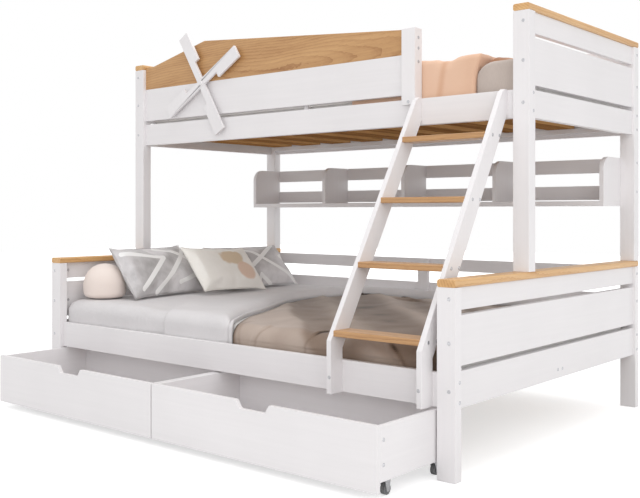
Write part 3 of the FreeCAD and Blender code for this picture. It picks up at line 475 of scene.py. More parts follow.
def closedShell(name, columns, rows, place, material):
    # place(share, row) gives the outer point, the inner point and the flat place
    points, cloth, number = [], [], {}
    for i in range(columns + 1):
        for j, row in enumerate(rows):
            outer, inner, flat = place(i / columns, row)
            number[i, j, 0] = number[i, j, 1] = len(points)
            points.append(outer)
            cloth.append(flat)
            if 0 < i < columns and 0 < j < len(rows) - 1:
                number[i, j, 1] = len(points)
                points.append(inner)
                cloth.append(flat)
    faces = []
    for i in range(columns):
        for j in range(len(rows) - 1):
            corners = ((i, j), (i + 1, j), (i + 1, j + 1), (i, j + 1))
            faces.append([number[a, b, 0] for a, b in corners])
            faces.append([number[a, b, 1] for a, b in reversed(corners)])
    return meshPiece(name, points, faces, material, cloth)


def ringFaces(rings, sides, closed=False):
    # faces between rings of points, each ring following the one before
    faces = []
    for ring in range(rings if closed else rings - 1):
        here, there = ring * sides, (ring + 1) % rings * sides
        faces += [[here + side, here + (side + 1) % sides,
                   there + (side + 1) % sides, there + side] for side in range(sides)]
    return faces


def tubeAlong(points, radius, sides=8, closed=True):
    # points and faces of a round cord through the given points
    count = len(points)
    ring = []
    up = Vector((0.31, 0.22, 0.92)).normalized()
    for index, point in enumerate(points):
        after = points[(index + 1) % count] if closed else points[min(index + 1, count - 1)]
        before = points[index - 1] if closed or index else points[0]
        way = (after - before).normalized()
        side = way.cross(up).normalized()
        up = side.cross(way).normalized()
        for step in range(sides):
            angle = 2 * math.pi * step / sides
            ring.append(point + (side * math.cos(angle) + up * math.sin(angle)) * radius)
    faces = ringFaces(count, sides, closed)
    if not closed:
        faces.append(list(range(sides))[::-1])
        faces.append([(count - 1) * sides + step for step in range(sides)])
    return ring, faces


def joined(name, groups, material):
    # one piece from several lists of points and faces
    points, faces = [], []
    for groupPoints, groupFaces in groups:
        start = len(points)
        points.extend(groupPoints)
        faces.extend([[start + index for index in face] for face in groupFaces])
    return meshPiece(name, points, faces, material)


def faceOut(piece):
    work = bmesh.new()
    work.from_mesh(piece.data)
    bmesh.ops.recalc_face_normals(work, faces=work.faces)
    work.to_mesh(piece.data)
    work.free()


def plainMesh(piece):
    # the mesh with its modifiers applied, which are then taken off
    graph = bpy.context.evaluated_depsgraph_get()
    mesh = bpy.data.meshes.new_from_object(piece.evaluated_get(graph))
    piece.modifiers.clear()
    return mesh


def finished(piece, levels):
    # subdivided once the shape is settled
    smoothing = piece.modifiers.new("smoothing", "SUBSURF")
    smoothing.levels = smoothing.render_levels = levels
    piece.data = plainMesh(piece)
    return piece


def settle(piece, body, node, slot):
    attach(piece, body)
    if node:
        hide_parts(node)


# cloth finishes; each has the colours that show under plain light

clothLooks = {
    "mattressKnit": {"dark": srgb(225, 223, 221), "light": srgb(232, 230, 228), "threads": 180.0,
                     "bump": 0.5, "sheen": 0.1},
    "duvetCotton": {"dark": srgb(212, 209, 210), "light": srgb(223, 220, 221), "threads": 330.0,
                    "bump": 0.35, "sheen": 0.15},
    # a dark cord for the band's seam: the stitching, with a painted shadow line along it
    "duvetStitchAndShade": {"dark": srgb(150, 147, 148), "light": srgb(172, 169, 170), "threads": 330.0,
                    "bump": 0.35, "sheen": 0.0},
    "pillowCotton": {"dark": srgb(178, 164, 156), "light": srgb(200, 187, 178), "threads": 300.0,
                     "bump": 0.4, "sheen": 0.15},
}

weaveDeep = 0.0004


def makeCloth(name):
    look = clothLooks[name]
    material, tree, shader = newMaterial(name, 0.9, Sheen_Weight=look["sheen"], Sheen_Roughness=0.5,
                                         Specular_IOR_Level=0.25)
    weave = useGroup(tree, clothWeave, Vector=clothPlace(tree), Threads=look["threads"])
    colour = rampOf(tree, weave["Tone"], [(0.3, look["dark"]), (0.7, look["light"])])
    rough = mathNode(tree, "MULTIPLY_ADD", weave["Tone"], -0.15, 0.95)
    finishSurface(tree, shader, colour, rough, weave["Height"], look["bump"], weaveDeep)
    return material


# the deep colour of each plush is painted shade, for creases and gaps that lie in shade
plushLooks = {
    "spreadPlush": {"deep": srgb(66, 54, 46), "dark": srgb(128, 109, 95),
                    "mid": srgb(163, 146, 134), "light": srgb(190, 174, 163),
                    "pile": 300.0, "sheen": 0.25},
    "quiltPlush": {"deep": srgb(196, 146, 116), "dark": srgb(208, 160, 130),
                   "mid": srgb(226, 189, 163), "light": srgb(233, 199, 176),
                   "pile": 260.0, "sheen": 0.3},
    # a darker copy of the quilt plush, painted shade for the quilt end lying over the pillow
    "quiltShadedPlush": {"deep": srgb(156, 110, 84), "dark": srgb(166, 120, 92),
                       "mid": srgb(196, 152, 122), "light": srgb(229, 192, 167),
                       "pile": 260.0, "sheen": 0.2},
    "ballPlush": {"deep": srgb(214, 196, 186), "dark": srgb(224, 208, 199),
                  "mid": srgb(234, 220, 212), "light": srgb(240, 229, 222),
                  "pile": 360.0, "sheen": 0.3},
}

plushBump = (0.5, 0.0012)


def makePlush(name):
    # this value is partly the way the pile was brushed, and so how dark it looks, and partly
    # painted light and shade: darker where folds, creases and gaps would lie in shade
    look = plushLooks[name]
    material, tree, shader = newMaterial(name, 0.95, Sheen_Weight=look["sheen"],
                                         Sheen_Roughness=0.4, Specular_IOR_Level=0.15)
    pile = useGroup(tree, plushPile, Vector=clothPlace(tree), Pile_Scale=look["pile"])
    napAndShade = addNode(tree, "ShaderNodeAttribute", {"attribute_name": "napAndShade"}).outputs["Fac"]
    # tones near zero reach the deep colour, which is painted shade
    tone = mathNode(tree, "MULTIPLY_ADD", pile["Tone"], 0.4, napAndShade)
    colour = rampOf(tree, tone, [(0.0, look["deep"]), (0.2, look["dark"]), (0.6, look["mid"]),
                                 (1.0, look["light"])])
    rough = mathNode(tree, "MULTIPLY_ADD", pile["Tone"], -0.1, 1.0)
    finishSurface(tree, shader, colour, rough, pile["Height"], *plushBump)
    return material


cloths = {name: makeCloth(name) for name in clothLooks}
plushes = {name: makePlush(name) for name in plushLooks}


def giveNapAndShade(piece, napAndShadeAt):
    layer = piece.data.attributes.new("napAndShade", "FLOAT", "POINT")
    layer.data.foreach_set("value", [napAndShadeAt(vertex.co) for vertex in piece.data.vertices])


# mattresses: a rounded slab with a cord sewn round its top and bottom rims

mattressLook = {"inset": 0.0026, "cornerRadius": 0.050, "rimRadius": 0.045, "rimSegments": 8,
                "cornerSegments": 10, "cordRadius": 0.0032, "cordFromRim": 0.046}


def makeMattress(name, node):
    low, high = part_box(node)
    look = mattressLook
    inset = Vector((look["inset"], look["inset"], 0))
    low, high = low + inset, high - inset
    radius = look["cornerRadius"]
    ring = []
    corners = ((high.x - radius, low.y + radius, -90), (high.x - radius, high.y - radius, 0),
               (low.x + radius, high.y - radius, 90), (low.x + radius, low.y + radius, 180))
    for cornerX, cornerY, turn in corners:
        for step in range(look["cornerSegments"] + 1):
            angle = math.radians(turn + 90 * step / look["cornerSegments"])
            ring.append((cornerX, cornerY, math.cos(angle), math.sin(angle)))
    levels = []
    for end, sign in ((low.z, -1), (high.z, 1)):
        part = []
        for step in range(look["rimSegments"] + 1):
            angle = math.pi / 2 * step / look["rimSegments"]
            part.append((look["rimRadius"] * (1 - math.cos(angle)),
                         end - sign * look["rimRadius"] * (1 - math.sin(angle))))
        levels += part[::-1] if sign < 0 else part
    points = []
    for inward, z in levels:
        for x, y, outX, outY in ring:
            points.append(Vector((x + outX * (radius - inward), y + outY * (radius - inward), z)))
    count = len(ring)
    faces = ringFaces(len(levels), count)
    faces.append(list(range(count))[::-1])
    faces.append([(len(levels) - 1) * count + index for index in range(count)])
    groups = [(points, faces)]
    for z in (low.z + look["cordFromRim"], high.z - look["cordFromRim"]):
        path = [Vector((x + outX * radius, y + outY * radius, z)) for x, y, outX, outY in ring]
        groups.append(tubeAlong(path, look["cordRadius"]))
    piece = joined(name, groups, cloths["mattressKnit"])
    giveVectors(piece.data, "clothPlace",
                [(vertex.co.x, vertex.co.y + vertex.co.z, 0) for vertex in piece.data.vertices])
    faceOut(piece)
    settle(piece, "bed", node, "mattress_cloth")


makeMattress("lowerMattressCover", "lower_mattress")
makeMattress("upperMattressCover", "upper_mattress")
print("mattresses made")


# covers hang in front of a mattress and lie on its top

coverGaps = {"above": 0.0004, "before": 0.0005}
rimThick = 0.0006
seamSides = 6


def onMattress(node):
    # height and front plane of what lies on this mattress
    low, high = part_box(node)
    return high.z + coverGaps["above"], low.y - coverGaps["before"]


def atRim(share, row):
    return share in (0, 1) or row in (("flap", 0.0), ("top", 1.0))


def topRows(count):
    return [("top", step / count) for step in range(count + 1)]


def coverRows(flap, bend, top):
    rows = [("flap", step / flap) for step in range(flap)]
    rows += [("bend", step / bend) for step in range(bend)]
    return rows + topRows(top)


def coverPoint(row, front, back, hem, top, bendRadius):
    # y, z, outward direction and path length on a line that hangs, bends and lies
    kind, share = row
    hang = top - bendRadius - hem
    quarter = math.pi / 2 * bendRadius
    if kind == "flap":
        return front, hem + hang * share, (-1, 0), hang * share
    if kind == "bend":
        angle = math.pi / 2 * share
        return (front + bendRadius * (1 - math.cos(angle)),
                top - bendRadius * (1 - math.sin(angle)),
                (-math.cos(angle), math.sin(angle)), hang + quarter * share)
    reach = back - front - bendRadius
    return front + bendRadius + reach * share, top, (0, 1), hang + quarter + reach * share


def paddedPlace(look, node, mattress, columnAt, shapeAt, rise=0.0):
    # shapeAt gives the share of the full thickness, the dent in it and the dent's share
    low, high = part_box(node)
    base, innerFront = onMattress(mattress)

    def place(share, row):
        y, z, out, length = coverPoint(row, low.y, high.y, low.z, high.z + rise,
                                       look["bendRadius"])
        innerY, innerZ = coverPoint(row, innerFront, high.y, low.z, base, look["innerBend"])[:2]
        x = columnAt(share, y)
        inner = Vector((x, innerY, innerZ))
        outer = inner + Vector((0, 0, rimThick))
        if not atRim(share, row):
            thick, dent, dentShare = shapeAt(share, row, x, y, z, length)
            outer = Vector((x, innerY + (y - innerY) * thick, innerZ + (z - innerZ) * thick))
            outer -= Vector((0, *out)) * dent * dentShare
        return outer, inner, (x, length, 0.0)
    return place


duvetLook = {
    "columns": 230, "rows": (10, 16, 112), "bendRadius": 0.058, "innerBend": 0.012,
    "edge": ((-0.5485, 0.049), (-0.50, 0.040), (-0.428, -0.008), (-0.28, -0.100), (-0.116, -0.172),
             (0.15, -0.305), (0.325, -0.385), (0.50, -0.415), (0.70, -0.385), (0.8325, -0.37)),
    "leftRound": 0.07, "backRound": 0.05, "hemRound": 0.01,
    "rollWide": 0.021, "rollThick": 0.0195, "rollGroove": 0.006, "edgeRound": 0.07,
    "bandWide": 0.372, "bandStep": 0.012, "bandFade": 0.36, "bandLip": (-0.002, 0.004),
    "bandBack": (0.03, 0.22), "ribPitch": 0.021, "ribDeep": 0.0011, "ribStart": (0.02, 0.1),
    "ribFade": (0.05, 0.3), "waveDeep": 0.0022, "waveStart": (0.02, 0.08),
    "crowd": 0.35, "seamRows": 40, "seamRadius": 0.0013,
}


def duvetEdgeX(y):
    points = duvetLook["edge"]
    return lineAt(points, min(points[-1][0], max(points[0][0], y)))


def makeDuvet():
    look = duvetLook
    low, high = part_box("duvet")
    full = high.z - onMattress("lower_mattress")[0]
    crowd = look["crowd"]

    def columnAt(share, y):
        # columns are closer together at the rolled edge
        spread = share + crowd * share * (1 - share)
        return low.x + (duvetEdgeX(y) - low.x) * spread

    def shapeAt(share, row, x, y, z, length):
        fromEdge, fromLeft, fromBack = duvetEdgeX(y) - x, x - low.x, high.y - y
        thick = roundEdge(fromLeft, look["leftRound"]) * roundEdge(length, look["hemRound"])
        thick *= roundEdge(fromBack, look["backRound"])
        if fromEdge < look["rollWide"]:
            roll = 1 - (2 * fromEdge / look["rollWide"] - 1) ** 2
            thick *= math.sqrt(max(0.0, roll)) * look["rollThick"] / full
        else:
            start = look["rollGroove"] / full
            thick *= start + (1 - start) * roundEdge(fromEdge - look["rollWide"], look["edgeRound"])
        # the folded-over band stands a little above the rest beside its seam
        near = 1 - ease(y, low.y + look["bandFade"] * 0.4, low.y + look["bandFade"])
        past = fromEdge - look["bandWide"]
        drop = look["bandStep"] * near * ease(past, *look["bandLip"])
        drop *= 1 - ease(past, *look["bandBack"])
        ribs = 0.5 + 0.5 * math.sin(2 * math.pi * x / look["ribPitch"] + 2.5 * wander(x, y, 6, 1))
        fadeFrom, fadeTo = look["ribFade"]
        ribs *= ease(past, *look["ribStart"]) * (1 - ease(y, low.y + fadeFrom, low.y + fadeTo))
        wave = waver(x, y + length * 0.3, 4.2, 5)
        calm = ease(fromEdge, 0.03, 0.12) * ease(fromLeft, *look["waveStart"])
        calm *= ease(fromBack, *look["waveStart"])
        dent = drop + ribs * look["ribDeep"] + wave * look["waveDeep"] * calm
        if row[0] == "flap":
            dent *= ease(length, 0.0, 0.02)
        return thick, dent, min(1.0, thick * 2)

    place = paddedPlace(look, "duvet", "lower_mattress", columnAt, shapeAt)
    rows = coverRows(*look["rows"])
    piece = closedShell("duvetCover", look["columns"], rows, place, cloths["duvetCotton"])
    settle(piece, "bed", "duvet", "duvet_cloth")
    path, flats = [], []
    for row in rows[1:look["seamRows"]]:
        edge = duvetEdgeX(coverPoint(row, low.y, high.y, low.z, high.z, look["bendRadius"])[0])
        spread = 1 - look["bandWide"] / (edge - low.x)
        # the share of the columns that the crowding brings to this spread
        share = (1 + crowd - math.sqrt((1 + crowd) ** 2 - 4 * crowd * spread)) / (2 * crowd)
        outer, _, flat = place(share, row)
        path.append(outer)
        flats += [flat] * seamSides
    # the seam cord's dark colour stands for its stitching and a painted shadow line
    seamPoints, seamFaces = tubeAlong(path, look["seamRadius"], seamSides, closed=False)
    seam = meshPiece("duvetSeam", seamPoints, seamFaces, cloths["duvetStitchAndShade"], flats)
    faceOut(seam)
    settle(seam, "bed", None, "duvet_cloth")


rearFoldLook = {"columns": 120, "rows": 22, "from": -0.40, "wide": 0.058, "top": 0.441,
                "slump": 0.006, "faceRound": 0.024, "leftRound": 0.05, "rightRound": 0.03,
                "clothWide": 0.09}


def makeRearFold():
    # the duvet's far edge stands up behind the spread
    look = rearFoldLook
    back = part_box("duvet")[1].y
    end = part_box("spread")[1].x
    base = onMattress("lower_mattress")[0]

    def place(share, row):
        x = look["from"] + (end - look["from"]) * share
        across = row[1]
        y = back - look["wide"] * (1 - across)
        rise = roundEdge(across * look["wide"], look["faceRound"])
        rise *= roundEdge((1 - across) * look["wide"], look["faceRound"])
        rise *= (roundEdge(x - look["from"], look["leftRound"])
                 * roundEdge(end - x, look["rightRound"]))
        tall = look["top"] - base - look["slump"] * waver(x, y, 6, 12)
        outer = Vector((x, y, base + max(rimThick, tall * rise)))
        return outer, Vector((x, y, base)), (x, across * look["clothWide"], 0.0)

    piece = closedShell("duvetRearFold", look["columns"], topRows(look["rows"]), place,
                        cloths["duvetCotton"])
    settle(piece, "bed", None, "duvet_cloth")


makeDuvet()
makeRearFold()
print("duvet made")


spreadLook = {
    "columns": 170, "rows": (12, 14, 170), "bendRadius": 0.047, "thick": 0.0034, "lift": 0.0006,
    "gap": 0.0012, "backGap": 0.0605, "hang": 0.105, "flapShare": 0.55, "ripple": 0.0026,
    # crests of the long folds: distance from the first fold line, width and height
    "crests": ((-0.07, 0.06, 0.017), (0.15, 0.045, 0.013), (0.44, 0.055, 0.017),
               (0.64, 0.05, 0.013), (0.80, 0.04, 0.011), (0.97, 0.05, 0.012),
               (-0.24, 0.06, 0.006)),
    # short creases as (from, to, width, height)
    "creases": (((0.085, -0.60), (0.06, -0.44), 0.012, 0.006),
                ((0.155, -0.62), (0.205, -0.50), 0.012, 0.007),
                ((0.40, -0.62), (0.46, -0.44), 0.012, 0.006),
                ((0.84, -0.62), (0.66, -0.40), 0.018, 0.009),
                ((-0.30, 0.76), (0.05, 0.66), 0.02, 0.012),
                ((-0.05, 0.75), (0.22, 0.58), 0.022, 0.010)),
    # how light the pile looks, from its brushing and from painted light and shade across the long
    # folds: distance from the first fold line and value
    "napAndShade": ((-0.60, 0.60), (-0.20, 0.64), (-0.085, 0.60), (-0.045, 0.10), (0.06, 0.08),
            (0.13, 0.42), (0.18, 0.34), (0.23, 0.08), (0.37, 0.10), (0.43, 0.74), (0.50, 0.50),
            (0.56, 0.16), (0.65, 0.74), (0.71, 0.14), (0.80, 0.70), (0.87, 0.14), (0.97, 0.66),
            (1.05, 0.2), (1.3, 0.4)),
    # painted shade: how far the pile darkens at the seam under the duvet's edge, at the gap along
    # the rear and on the creases, and over what width
    "seamShade": (0.9, 0.018), "rearShade": (0.9, 0.016), "creaseShade": 0.34,
    "flat": (1.40, 1.44), "area": 1.69,
}


def fromFirstFold(x, y):
    # distance behind the diagonal line that the first long fold follows
    return (x + y + 0.048) / math.sqrt(2) + 0.03 * wander(x, y, 2.4, 17)


def makeSpread():
    look = spreadLook
    low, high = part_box("spread")
    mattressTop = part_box("lower_mattress")[1].z
    base, front = onMattress("lower_mattress")
    base, front = base + look["thick"] / 2, front - look["thick"] / 2
    back = high.y - look["backGap"]
    creases = [(Vector(start), Vector(end), width, tall)
               for start, end, width, tall in look["creases"]]

    def besideCrease(spot, x, y, start, end):
        return sideOf(spot, start, end) + 0.006 * wander(x, y, 9, 3)

    def liftAt(x, y, length):
        # a place on the front counts as far before the bed as it hangs down
        spot = Vector((x, y - max(0.0, look["hang"] - length)))
        away = fromFirstFold(spot.x, spot.y)
        lift = 0.0
        for place, width, tall in look["crests"]:
            tall *= 0.75 + 0.45 * wander(x, y, 3.1, place * 30)
            # the far side of a fold falls away more steeply
            width *= 0.5 if away > place else 1.0
            lift = max(lift, tall * ridge(away - place, width))
        for start, end, width, tall in creases:
            beside = besideCrease(spot, x, y, start, end) - width * 0.6
            lift = max(lift, tall * ridge(beside, width * (1.0 if beside > 0 else 0.5)))
        return lift + look["ripple"] * waver(x, y + length * 0.2, 6.5, 9)

    def place(share, row):
        y, z, out, length = coverPoint(row, front, back, low.z, base, look["bendRadius"])
        edge = duvetEdgeX(y) + look["gap"]
        x = edge + (high.x - edge) * share
        lift = liftAt(x, y, length) * (look["flapShare"] if row[0] == "flap" else 1.0)
        lift = (look["lift"] + lift) * ease(x - edge, -0.02, 0.05)
        middle = Vector((x, y + out[0] * lift, z + out[1] * lift))
        half = Vector((0, *out)) * look["thick"] / 2
        if atRim(share, row):
            half = Vector()
        return middle + half, middle - half, (x, length, 0.0)

    piece = closedShell("spreadCover", look["columns"], coverRows(*look["rows"]), place,
                        plushes["spreadPlush"])

    def napAndShadeAt(point):
        x, y = point.x, point.y
        hang = max(0.0, mattressTop - point.z)
        spot = Vector((x, y - hang))
        # painted light and shade across the folds, then painted shade at the seam, the rear gap and
        # the creases
        value = lineAt(look["napAndShade"], fromFirstFold(x, y - hang)) + 0.2 * wander(x, y, 9, 14)
        for (shade, width), beside in ((look["seamShade"], x - duvetEdgeX(y)),
                                       (look["rearShade"], back - y)):
            value -= shade * ridge(beside, width)
        for start, end, width, _ in creases:
            beside = besideCrease(spot, x, y, start, end)
            shade = look["creaseShade"] * (0.6 + 0.8 * wander(x, y, 24, 19))
            value -= shade * ridge(beside + width * 0.2, width * 0.5)
        return value

    giveNapAndShade(piece, napAndShadeAt)
    settle(piece, "bed", "spread", "taupe_cloth")


makeSpread()
print("spread made")


# upper bedding: a thick folded plush quilt and a flat pillow

quiltLook = {
    "columns": 110, "rows": (10, 12, 110), "bendRadius": 0.030, "innerBend": 0.012, "rise": 0.010,
    "profile": ((0.0, 1.388), (0.25, 1.391), (0.57, 1.3925), (0.69, 1.392), (0.80, 1.379),
                (0.855, 1.390), (1.0, 1.3944)),
    "sideRound": 0.035, "hemRound": 0.008, "backRound": 0.05, "lean": 0.026,
    "folds": (((0.74, 0.0), (0.80, 0.30), 0.016, 0.007), ((0.66, 0.04), (0.60, 0.5), 0.03, 0.010),
              ((0.30, 0.10), (0.52, 0.7), 0.04, 0.012), ((0.10, 0.4), (0.42, 0.9), 0.035, 0.010),
              ((0.55, 0.62), (0.98, 0.42), 0.03, 0.010)),
    "crumple": 0.007, "frontFold": 0.775, "frontShade": (0.3, 0.016),
}


def makeQuilt():
    look = quiltLook
    low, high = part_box("quilt")
    base = onMattress("upper_mattress")[0]
    span = high - low
    top = high.z + look["rise"]
    folds = [(Vector((low.x + span.x * a[0], low.y + span.y * a[1])),
              Vector((low.x + span.x * b[0], low.y + span.y * b[1])), width, deep)
             for a, b, width, deep in look["folds"]]

    def shapeAt(share, row, x, y, z, length):
        thick = roundEdge(x - low.x, look["sideRound"])
        thick *= roundEdge(high.x - x, look["sideRound"] * 0.4)
        thick *= roundEdge(length, look["hemRound"]) * roundEdge(high.y - y, look["backRound"])
        dent = 0.0
        spot = Vector((x, y))
        for start, end, width, deep in folds:
            dent += deep * ridge(distanceTo(spot, start, end) + 0.01 * wander(x, y, 7, 2), width)
        dent += look["crumple"] * waver(x, y + 0.4 * length, 9, 8)
        dent += look["crumple"] * 0.5 * waver(x, y + 0.4 * length, 21, 4)
        dent *= 0.25 if row[0] == "flap" else 0.25 + 0.75 * ease(length, 0.14, 0.24)
        dent += (top - lineAt(look["profile"], share)) * ease(z, top - 0.06, top)
        return thick, dent, thick

    upright = paddedPlace(look, "quilt", "upper_mattress",
                          lambda share, y: low.x + span.x * share, shapeAt, look["rise"])

    def place(share, row):
        # the end over the pillow leans towards the ladder
        outer, inner, flat = upright(share, row)
        if not atRim(share, row):
            outer.x += look["lean"] * ease(share, 0.75, 1.0) * ease(outer.z, base, high.z)
        return outer, inner, flat

    piece = closedShell("quiltCover", look["columns"], coverRows(*look["rows"]), place,
                        plushes["quiltPlush"])

    def napAndShadeAt(point):
        fromFront, below = point.y - low.y, high.z - point.z
        value = 0.46 + 0.16 * wander(point.x, point.y, 7, 6)
        # painted shade: darker where the top sinks into its folds and rounds off towards the back
        value -= 0.25 * ease(fromFront, 0.02, 0.25) * ease(below, 0.004, 0.02)
        fold = low.x + span.x * (look["frontFold"] - 0.3 * below)
        shade, width = look["frontShade"]
        return value - shade * (1 - ease(fromFront, 0.03, 0.12)) * ridge(point.x - fold, width)

    giveNapAndShade(piece, napAndShadeAt)
    settle(piece, "bed", "quilt", "peach_cloth")


upperPillowLook = {
    "columns": 60, "rows": (10, 14, 84), "bendRadius": 0.05, "innerBend": 0.012,
    "frontDrop": 0.040, "rise": 0.010, "riseWide": 0.2, "leftRound": 0.075, "rightRound": 0.04,
    "hemRound": 0.008, "backRound": 0.09, "puff": 0.005,
}


def makeUpperPillow():
    look = upperPillowLook
    low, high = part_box("upper_pillow")

    def columnAt(share, y):
        return low.x + (high.x - low.x) * (0.5 - 0.5 * math.cos(math.pi * share))

    def shapeAt(share, row, x, y, z, length):
        thick = roundEdge(x - low.x, look["leftRound"]) * roundEdge(high.x - x, look["rightRound"])
        thick *= roundEdge(length, look["hemRound"]) * roundEdge(high.y - y, look["backRound"])
        dent = 0.0
        if row[0] != "flap":
            dent = look["frontDrop"] - look["rise"] * ease(y, low.y, low.y + look["riseWide"])
            dent *= ease(z, high.z - look["bendRadius"], high.z)
        dent += look["puff"] * waver(x, y, 11, 3) * (1 if row[0] == "top" else 0.3)
        return thick, dent, thick

    place = paddedPlace(look, "upper_pillow", "upper_mattress", columnAt, shapeAt)
    piece = closedShell("upperPillowCover", look["columns"], coverRows(*look["rows"]), place,
                        cloths["pillowCotton"])
    settle(piece, "bed", "upper_pillow", "grey_taupe_cloth")


quiltFoldLook = {"columns": 40, "rows": 40, "from": 0.032, "short": 0.004, "front": 0.045,
                 "back": 0.42, "above": 0.0015, "left": 0.030, "right": 0.012, "sideRound": 0.02,
                 "endRound": 0.05, "crumple": 0.009, "uneven": 0.12}


def makeQuiltFold():
    # the end of the quilt lies over the back of the pillow
    look, pillow = quiltFoldLook, upperPillowLook
    low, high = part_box("upper_pillow")
    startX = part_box("quilt")[1].x + look["from"]
    wide = high.x - look["short"] - startX
    startY = low.y + look["front"]
    deep = low.y + look["back"] - startY
    base = high.z - pillow["frontDrop"] + pillow["rise"] + look["above"]

    def place(share, row):
        across = row[1]
        x = startX + wide * share
        y = startY + deep * across * (1 + look["uneven"] * wander(x, 0.0, 9, 31))
        rise = roundEdge(wide * min(share, 1 - share), look["sideRound"])
        rise *= roundEdge(deep * min(across, 1 - across), look["endRound"])
        tall = look["left"] + (look["right"] - look["left"]) * ease(share, 0.0, 0.75)
        tall -= look["crumple"] * waver(x, y, 14, 22)
        floor = base - pillow["rise"] * (1 - ease(y, low.y, low.y + pillow["riseWide"]))
        outer = Vector((x, y, floor + max(rimThick, tall * rise)))
        return outer, Vector((x, y, floor)), (x, y, 0.0)

    piece = closedShell("quiltFold", look["columns"], topRows(look["rows"]), place,
                        plushes["quiltShadedPlush"])
    # painted shade: darker towards the front of the fold, lighter further back
    giveNapAndShade(piece, lambda point: 0.1 + 0.75 * ease(point.y, startY + 0.03, startY + 0.16)
            + 0.12 * wander(point.x, point.y, 9, 6))
    settle(piece, "bed", None, "peach_cloth")


makeQuilt()
makeUpperPillow()
makeQuiltFold()
print("upper bedding made")


# cushions: two faces sewn round the rim, blown up as cloth and set against the end board

def makeBandLine():
    # mask of a straight woven band between two places on the cushion
    tree, entry, leave = shaderGroup(
        "bandLine",
        {"Vector": ("Vector", None), "Start": ("Vector", (0, 0, 0)),
         "Along": ("Vector", (1, 0, 0)), "Half Width": ("Float", 0.009)}, ("Mask",))
    along = entry["Along"]
    offset = vectorMath(tree, "SUBTRACT", entry["Vector"], entry["Start"])["Vector"]
    share = mathNode(tree, "DIVIDE", vectorMath(tree, "DOT_PRODUCT", offset, along)["Value"],
                     vectorMath(tree, "DOT_PRODUCT", along, along)["Value"], clamp=True)
    nearest = vectorMath(tree, "SCALE", along, Scale=share)["Vector"]
    away = vectorMath(tree, "SUBTRACT", offset, nearest)["Vector"]
    distance = vectorMath(tree, "LENGTH", away)["Value"]
    past = mathNode(tree, "SUBTRACT", entry["Half Width"], distance)
    feed(tree, leave["Mask"], mathNode(tree, "MULTIPLY_ADD", past, 700.0, 0.5, clamp=True))
    return tree


bandLine = makeBandLine()

greyClothLook = {"dark": srgb(154, 150, 149), "light": srgb(226, 223, 224),
                 "band": srgb(246, 245, 244), "halfWidth": 0.0112, "threads": 260.0,
                 "ragged": 160.0, "shake": (0.002, 0.002, 0), "bump": (0.45, 0.0006)}
# soft patches as (place, size, wobble of the rim, colour), in shares of the cushion
creamClothLook = {"dark": srgb(239, 235, 228), "light": srgb(249, 246, 241), "pile": 360.0,
                  "patches": (((0.20, 0.34), (0.46, 0.46), 0.5, srgb(216, 192, 160)),
                              ((0.46, -0.30), (0.28, 0.42), 0.2, srgb(226, 194, 172))),
                  "wobble": 26.0, "patchReach": 1.12, "patchSharp": 5.0, "patchShare": 0.85,
                  "bump": (0.4, 0.0009)}


def makeGreyCloth(name, bands, wide, tall):
    look = greyClothLook
    material, tree, shader = newMaterial(name, 0.9, Sheen_Weight=0.15, Sheen_Roughness=0.4,
                                         Specular_IOR_Level=0.25)
    place = clothPlace(tree)
    ragged = noiseOf(tree, place, look["ragged"], 2.0, output="Color")
    shaken = vectorMath(tree, "MULTIPLY_ADD", ragged, look["shake"], place)["Vector"]
    flat = vectorMath(tree, "MULTIPLY", shaken, (1, 1, 0))["Vector"]
    total = None
    for band in bands:
        corners = [Vector((s * wide / 2, t * tall / 2, 0)) for s, t in band]
        for start, end in zip(corners, corners[1:]):
            mask = useGroup(tree, bandLine, Vector=flat, Start=start, Along=end - start,
                            Half_Width=look["halfWidth"])["Mask"]
            total = mask if total is None else mathNode(tree, "MAXIMUM", total, mask)
    weave = useGroup(tree, clothWeave, Vector=place, Threads=look["threads"])
    shade = mathNode(tree, "MULTIPLY", noiseOf(tree, place, 9.0), 0.6)
    tone = mathNode(tree, "MULTIPLY_ADD", weave["Tone"], 0.4, shade)
    grey = rampOf(tree, tone, [(0.3, look["dark"]), (0.62, look["light"])])
    rough = mathNode(tree, "MULTIPLY_ADD", total, 0.05, 0.86)
    height = mathNode(tree, "MULTIPLY_ADD", total, 0.5, weave["Height"])
    finishSurface(tree, shader, mixColours(tree, total, grey, look["band"]), rough, height,
                  *look["bump"])
    return material


def makeCreamCloth(wide, tall):
    look = creamClothLook
    material, tree, shader = newMaterial("creamPlush", 0.95, Sheen_Weight=0.3, Sheen_Roughness=0.4,
                                         Specular_IOR_Level=0.15)
    place = clothPlace(tree)
    pile = useGroup(tree, plushPile, Vector=place, Pile_Scale=look["pile"])
    colour = rampOf(tree, pile["Tone"], [(0.3, look["dark"]), (0.65, look["light"])])
    wobble = noiseOf(tree, place, look["wobble"], 2.0)
    for (s, t), (wideShare, tallShare), wobbleShare, tint in look["patches"]:
        spot = stretched(tree, place, (2 / (wide * wideShare), 2 / (tall * tallShare), 0),
                         place=(-s / wideShare, -t / tallShare, 0))
        length = vectorMath(tree, "LENGTH", spot)["Value"]
        reach = mathNode(tree, "MULTIPLY_ADD", wobble, wobbleShare, length)
        inside = mathNode(tree, "SUBTRACT", look["patchReach"], reach)
        mask = mathNode(tree, "MULTIPLY", inside, look["patchSharp"], clamp=True)
        share = mathNode(tree, "MULTIPLY", mask, look["patchShare"])
        colour = mixColours(tree, share, colour, tint)
    rough = mathNode(tree, "MULTIPLY_ADD", pile["Tone"], -0.1, 1.0)
    finishSurface(tree, shader, colour, rough, pile["Height"], *look["bump"])
    return material


